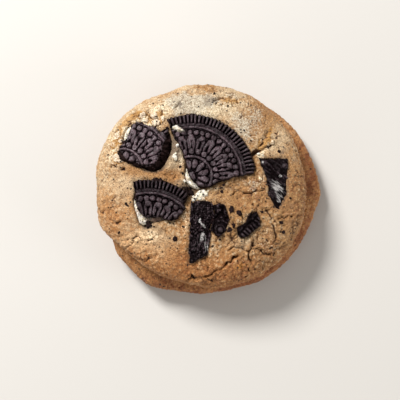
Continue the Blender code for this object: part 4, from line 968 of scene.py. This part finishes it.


# The cream under them; "squeezed" and "grubby" are patches too, with a rise or a strength; grubby
# is random browner mottling, and painted shade where the cream lies under a biscuit's edge.
creams = {
    "cream_quarter": {
        "middle": (-1.5, 9.5), "thickness": 1.3, "rings": 60,
        "outline": [(-13.4, 20.4), (-13.3, 17.6), (-11.2, 15.2), (-8.4, 8), (-8.6, 3.2), (-7.9, -0.1),
            (-6.2, -1.8), (-3.6, -2.4), (1.5, 0.8), (6, 3.4), (12.6, 4.8), (12.6, 9), (8.6, 15),
            (2.5, 19.2), (-5, 21.4), (-9.5, 21), (-12, 21)],
        "squeezed": ((-12, 19.4, 2.8, 1.5, -35, 2.3), (-9.6, 18.1, 1.4, 1, -35, 2.1),
            (-7.6, 0.6, 2.6, 1.2, -60, 1.9), (-5.6, -1.6, 1.9, 1.1, -30, 1.7)),
    },
    "cream_block": {
        "middle": (-23.5, 14), "thickness": 1.2, "rings": 24,
        "outline": [(-30.4, 12), (-27, 9.4), (-20.5, 8.2), (-17, 16), (-20.4, 18), (-26, 20), (-28.6, 20.8),
            (-30.2, 18.4), (-30.9, 15)],
        "squeezed": ((-29.2, 18.2, 1.8, 0.9, 65, 1),),
    },
    "cream_rim": {
        "middle": (-18, -7), "thickness": 1.5, "rings": 52, "sink": 3.2,
        "outline": [(-25.4, -1.6), (-26.5, -6), (-26.3, -8.5), (-25, -12.2), (-24.2, -14.6), (-22.8, -15.7),
            (-22.3, -14.4), (-21.2, -13.6), (-19.5, -14), (-16.6, -13.2), (-11.2, -10.6), (-10.2, -6),
            (-12.5, -2), (-17, 0.6), (-22, -0.4)],
        "squeezed": ((-25.4, -9.5, 6, 1.2, -68, 1.2), (-19.5, -13.2, 3, 0.8, -5, 0.5)),
        # darker along the rim piece's edge, which shades the cream: painted shade
        "grubbyAndShaded": ((-18.4, -13, 3, 1.4, -5, 0.9), (-24.9, -10.6, 1.2, 0.4, -68, 0.5)),
    },
}


def makeCream(name, material):
    # A slab whose side bulges by a sine between its faces, raised by bells where it was squeezed.
    cream = creams[name]
    turn, way, quads, fan = lumpGrid(cream["rings"], 10, 3)
    steps = np.radians((-5, -2.5, 0, 2.5, 5))
    edge = np.mean([edgeRadius(cream["outline"], cream["middle"], turn + step) for step in steps], axis=0)
    ray = np.stack([np.cos(turn), np.sin(turn)], axis=1)
    down = np.clip(way - 1, 0, 1)
    edge = edge + 0.25 * np.sin(math.pi * down) * (way < 2)
    reach = np.where(way <= 1, way, np.where(way > 2, 3 - way, 1)) * edge
    x, y = (cream["middle"] + ray * reach[:, None]).T
    flat = flatPoints(x, y)
    high = cream["thickness"] + patchStrength(x, y, cream["squeezed"])
    high += 0.3 * layeredNoise(flat, 1.4, 161, 4) + 0.5 * np.abs(layeredNoise(flat, 0.9, 166, 3))
    high -= 0.35 * bell((1 - np.minimum(way, 1)) * edge, 0.4)
    points = overPlane(name, x, y, high * np.where(way <= 1, 1, 1 - down))
    grubbyAndShaded = patchStrength(x, y, cream.get("grubbyAndShaded", ())) + 0.3 * softNoise(flat, 1, 167)
    marks = {"grubbyAndShaded": np.clip(grubbyAndShaded, 0, 0.9)}
    shown = name.replace("cream_", "filling_")
    makePiece(shown, points, (quads, fan), material, [name], marks)


crumbs = {
    # crumbs seen in their own places: x, y, width, height
    "named": ((10.2, -10.9, 1.9, 1.2), (7.6, -9.5, 1.8, 0.9), (6.8, -16.7, 1.8, 1), (8, -14.7, 1, 0.5),
        (8.4, -15.3, 1.1, 0.7), (3.4, -20.1, 0.8, 0.6), (-12.2, -19.7, 1.7, 1.2), (-28.9, -8, 1.2, 0.8),
        (-31.9, -17.3, 0.8, 0.6), (-9.6, 3.3, 0.8, 0.6), (25.9, -17.3, 1.1, 0.8), (25, -14, 1.1, 0.7),
        (18.1, -10.5, 0.9, 0.6), (3.9, -2.1, 0.8, 0.6), (4.2, -3.3, 1, 0.6), (24.6, 11.2, 1.1, 0.6),
        (-6.9, -1.7, 0.8, 0.6), (20.6, 12.6, 0.9, 0.7), (-10.4, 5.6, 0.7, 0.5), (12.1, 18.6, 0.7, 0.5),
        (6.4, 27.6, 0.8, 0.6), (1.6, 32.4, 0.8, 0.5), (28.4, -5.2, 0.8, 0.5), (-8.3, -2.2, 1.4, 1),
        (-7.5, -2.8, 1.6, 1.2), (-6.3, -3.3, 1.3, 1), (-8.7, -3.5, 1.3, 1), (-9.8, -2.6, 1.2, 0.9),
        (-6, -4.2, 1.1, 0.8), (-7.4, -4.1, 0.9, 0.6), (-9.4, -1.6, 0.8, 0.6), (4.9, -0.9, 0.9, 0.6)),
    # crumbs that lie higher than the dough: x, y, width, height, lift
    "perched": ((-21.6, -14.6, 2.5, 2.2, 2.6), (-19.3, 0.3, 2.2, 1.3, 1.4), (-17.5, 0.5, 2.2, 1.3, 1.4),
        (-15, 19.2, 1.2, 1, 0.4), (-2.4, -4.3, 0.6, 0.5, 0.9), (-4.1, -4.9, 0.6, 0.5, 0.8),
        (-3.3, -3.6, 0.5, 0.4, 0.8), (-5.4, -5.9, 0.5, 0.4, 0.6)),
    # lumps of cream: x, y, width, height
    "cream": ((-2, -3.6, 2.1, 1.5), (-3.2, -4.5, 2.2, 1.6), (-4.6, -5.4, 2, 1.3), (-5.8, -6.2, 1.3, 0.9),
        (-3.3, -3.4, 1.3, 1), (-4.4, -4.2, 1.4, 1), (-2.3, -5.1, 1.4, 1), (-3.6, -5.8, 1.2, 0.8),
        (-0.8, -3.3, 1, 0.7), (-5.5, -5, 1.1, 0.8), (-12.2, 8.9, 1.8, 0.9), (-12, 10.1, 0.9, 0.6),
        (-11.3, 13, 1.2, 0.8), (17.2, 10.2, 1.1, 0.8), (-8.9, 0.7, 0.9, 0.7), (-28.7, 18.1, 1.9, 1.3),
        (-29.4, 16.4, 1, 0.8), (18.6, 9.9, 0.7, 0.5)),
    # dust: number, power that makes most of it small, seed, least and most width, disc's radius
    "scattered": 300, "skew": 4, "seed": 5, "widths": (0.16, 0.7), "disc": 37,
}


def lumpShape(rings, sideRows, underRows):
    # A unit ball: "way" becomes the angle from the top, pi / 3 for each whole step.
    turn, way, quads, fan = lumpGrid(rings, sideRows, underRows)
    polar = way * math.pi / 3
    ball = np.stack([np.sin(polar) * np.cos(turn), np.sin(polar) * np.sin(turn), np.cos(polar)], axis=1)
    return ball, quads, fan


def doughLevel(x, y):
    # The dough's height at plan points: that of the nearest vertex of its top.
    top = doughPoints[doughPoints[:, 2] > dough["capLevel"] - 2]
    nearest = [np.argmin((top[:, 0] - px) ** 2 + (top[:, 1] - py) ** 2) for px, py in zip(x, y)]
    return top[nearest, 2]


def joinLumps(name, spots, shape, material, seed, dent):
    # Many balls as one mesh, each stretched to its width and height, turned about z by its own
    # angle, dented by noise and sunk into the dough by a third of its height.
    ball, quads, fan = shape
    x, y, width, tall, lift = np.array([(*spot, 0)[:5] for spot in spots]).T
    draw = np.random.default_rng(seed)
    turns = draw.uniform(0, math.tau, len(spots))
    long = draw.uniform(0.75, 1.25, len(spots))
    half = width / 2
    local = ball * np.stack([half * long, half / long, tall / 2], axis=1)[:, None]
    c, s = np.cos(turns)[:, None], np.sin(turns)[:, None]
    outward = [local[..., 0] * c - local[..., 1] * s, local[..., 0] * s + local[..., 1] * c, local[..., 2]]
    outward = np.stack(outward, axis=2)
    middle = np.stack([x, y, doughLevel(x, y) + lift + 0.17 * tall], axis=1)[:, None]
    readAt = ((outward + 4 * middle) / (0.9 * half)[:, None, None]).reshape(-1, 3)
    layers = ((1.3, 1), (0.7, 0.7), (0.36, 0.5))
    noise = sum(weight * softNoise(readAt, size, seed + 3) for size, weight in layers)
    points = (middle + outward).reshape(-1, 3) + outward.reshape(-1, 3) * (dent * noise)[:, None]
    steps = (np.arange(len(spots)) * len(ball))[:, None, None]
    groups = [(group + steps).reshape(-1, group.shape[1]) for group in (quads, fan)]
    marks = {"broken": np.ones(len(points)), "raisedAndLit": np.full(len(points), 0.05)}
    makePiece(name, points, groups, material, (), marks)


def scatterCrumbs():
    # Places drawn evenly over a disc and kept off the biscuit, more of them within a few mm of
    # a piece that they broke from and fewer towards the top.
    draw = np.random.default_rng(crumbs["seed"])
    outlines = [waferOutline(wafer) for wafer in wafers.values()]
    low, high = crumbs["widths"]
    spots = []
    while len(spots) < crumbs["scattered"]:
        radius, angle = crumbs["disc"] * math.sqrt(draw.uniform()), draw.uniform(0, math.tau)
        x, y = np.array([radius * math.cos(angle)]) - 2, np.array([radius * math.sin(angle)])
        near = min(distanceInto(x, y, outline)[0] for outline in outlines)
        if near < 0.25 or draw.uniform() > 0.35 - 0.007 * y[0] + 0.9 * math.exp(-near / 2.5):
            continue
        across = low + (high - low) * draw.uniform() ** crumbs["skew"]
        spots.append((x[0], y[0], across, across * draw.uniform(0.5, 0.9)))
    return spots


doughMaterial, waferMaterial, creamMaterial = bakedDough(), cocoaBiscuit(), sugarCream()
print("materials made")
doughPoints = makeDough(doughMaterial)
for waferName in wafers:
    makeWafer(waferName, waferMaterial)
for creamName in creams:
    makeCream(creamName, creamMaterial)
whole = crumbs["named"] + crumbs["perched"]
joinLumps("cocoaCrumbs", whole, lumpShape(7, 6, 4), waferMaterial, 11, 0.55)
joinLumps("cocoaDust", scatterCrumbs(), lumpShape(2, 1, 1), waferMaterial, 12, 0.4)
joinLumps("creamCrumbs", crumbs["cream"], lumpShape(10, 8, 5), creamMaterial, 13, 0.4)

studio = {
    "floor": "#C6C2BC", "floorHalf": 3.0, "ambient": 0.42, "ambientColour": (1, 0.99, 0.97, 1),
    "lens": 82.37, "sensor": 36,
    # lamps: where in metres, size, power
    "lamps": {"windowLight": ((-0.42, 0.48, 0.62), 0.3, 12.2),
              "fillLight": ((0.74, -0.3, 0.13), 0.5, 4), "lowLight": ((-0.5, -0.6, 0.15), 0.5, 1.4)},
    # in mm
    "cameraAt": (-3.45, -50.69, 339.89), "cameraTo": (-3.45, -6.15, 23),
}


def makeStudio():
    # A pale board, soft light from all round, round lamps turned to the origin, and the camera.
    scene = bpy.context.scene
    floorMesh = bpy.data.meshes.new("floor")
    half = studio["floorHalf"]
    corners = [(-half, -half, 0), (half, -half, 0), (half, half, 0), (-half, half, 0)]
    floorMesh.from_pydata(corners, [], [(0, 1, 2, 3)])
    board = {"Base Color": linear(studio["floor"]), "Roughness": 0.8, "Specular IOR Level": 0.2}
    floorMesh.materials.append(startMaterial("paleMattBoard", board)[0])
    floor = bpy.data.objects.new("floor", floorMesh)
    scene.collection.objects.link(floor)
    floor.location.z = -0.1 * mm
    world = bpy.data.worlds.new("softStudio")
    scene.world = world
    world.use_nodes = True
    background = world.node_tree.nodes["Background"]
    background.inputs["Color"].default_value = studio["ambientColour"]
    background.inputs["Strength"].default_value = studio["ambient"]
    for name, (place, size, power) in studio["lamps"].items():
        light = bpy.data.lights.new(name, "AREA")
        light.shape, light.size, light.energy = "DISK", size, power
        lamp = bpy.data.objects.new(name, light)
        scene.collection.objects.link(lamp)
        lamp.location = place
        lamp.rotation_euler = (-Vector(place)).to_track_quat("-Z", "Y").to_euler()
    camera = bpy.data.objects.new("camera", bpy.data.cameras.new("camera"))
    scene.collection.objects.link(camera)
    camera.data.lens, camera.data.sensor_width = studio["lens"], studio["sensor"]
    camera.location = Vector(studio["cameraAt"]) * mm
    towards = Vector(studio["cameraTo"]) * mm - camera.location
    camera.rotation_euler = towards.to_track_quat("-Z", "Y").to_euler()
    camera.data.clip_start, camera.data.clip_end = 0.01, 10
    scene.camera = camera
    scene.view_settings.view_transform = "Standard"


makeStudio()
print("studio set")
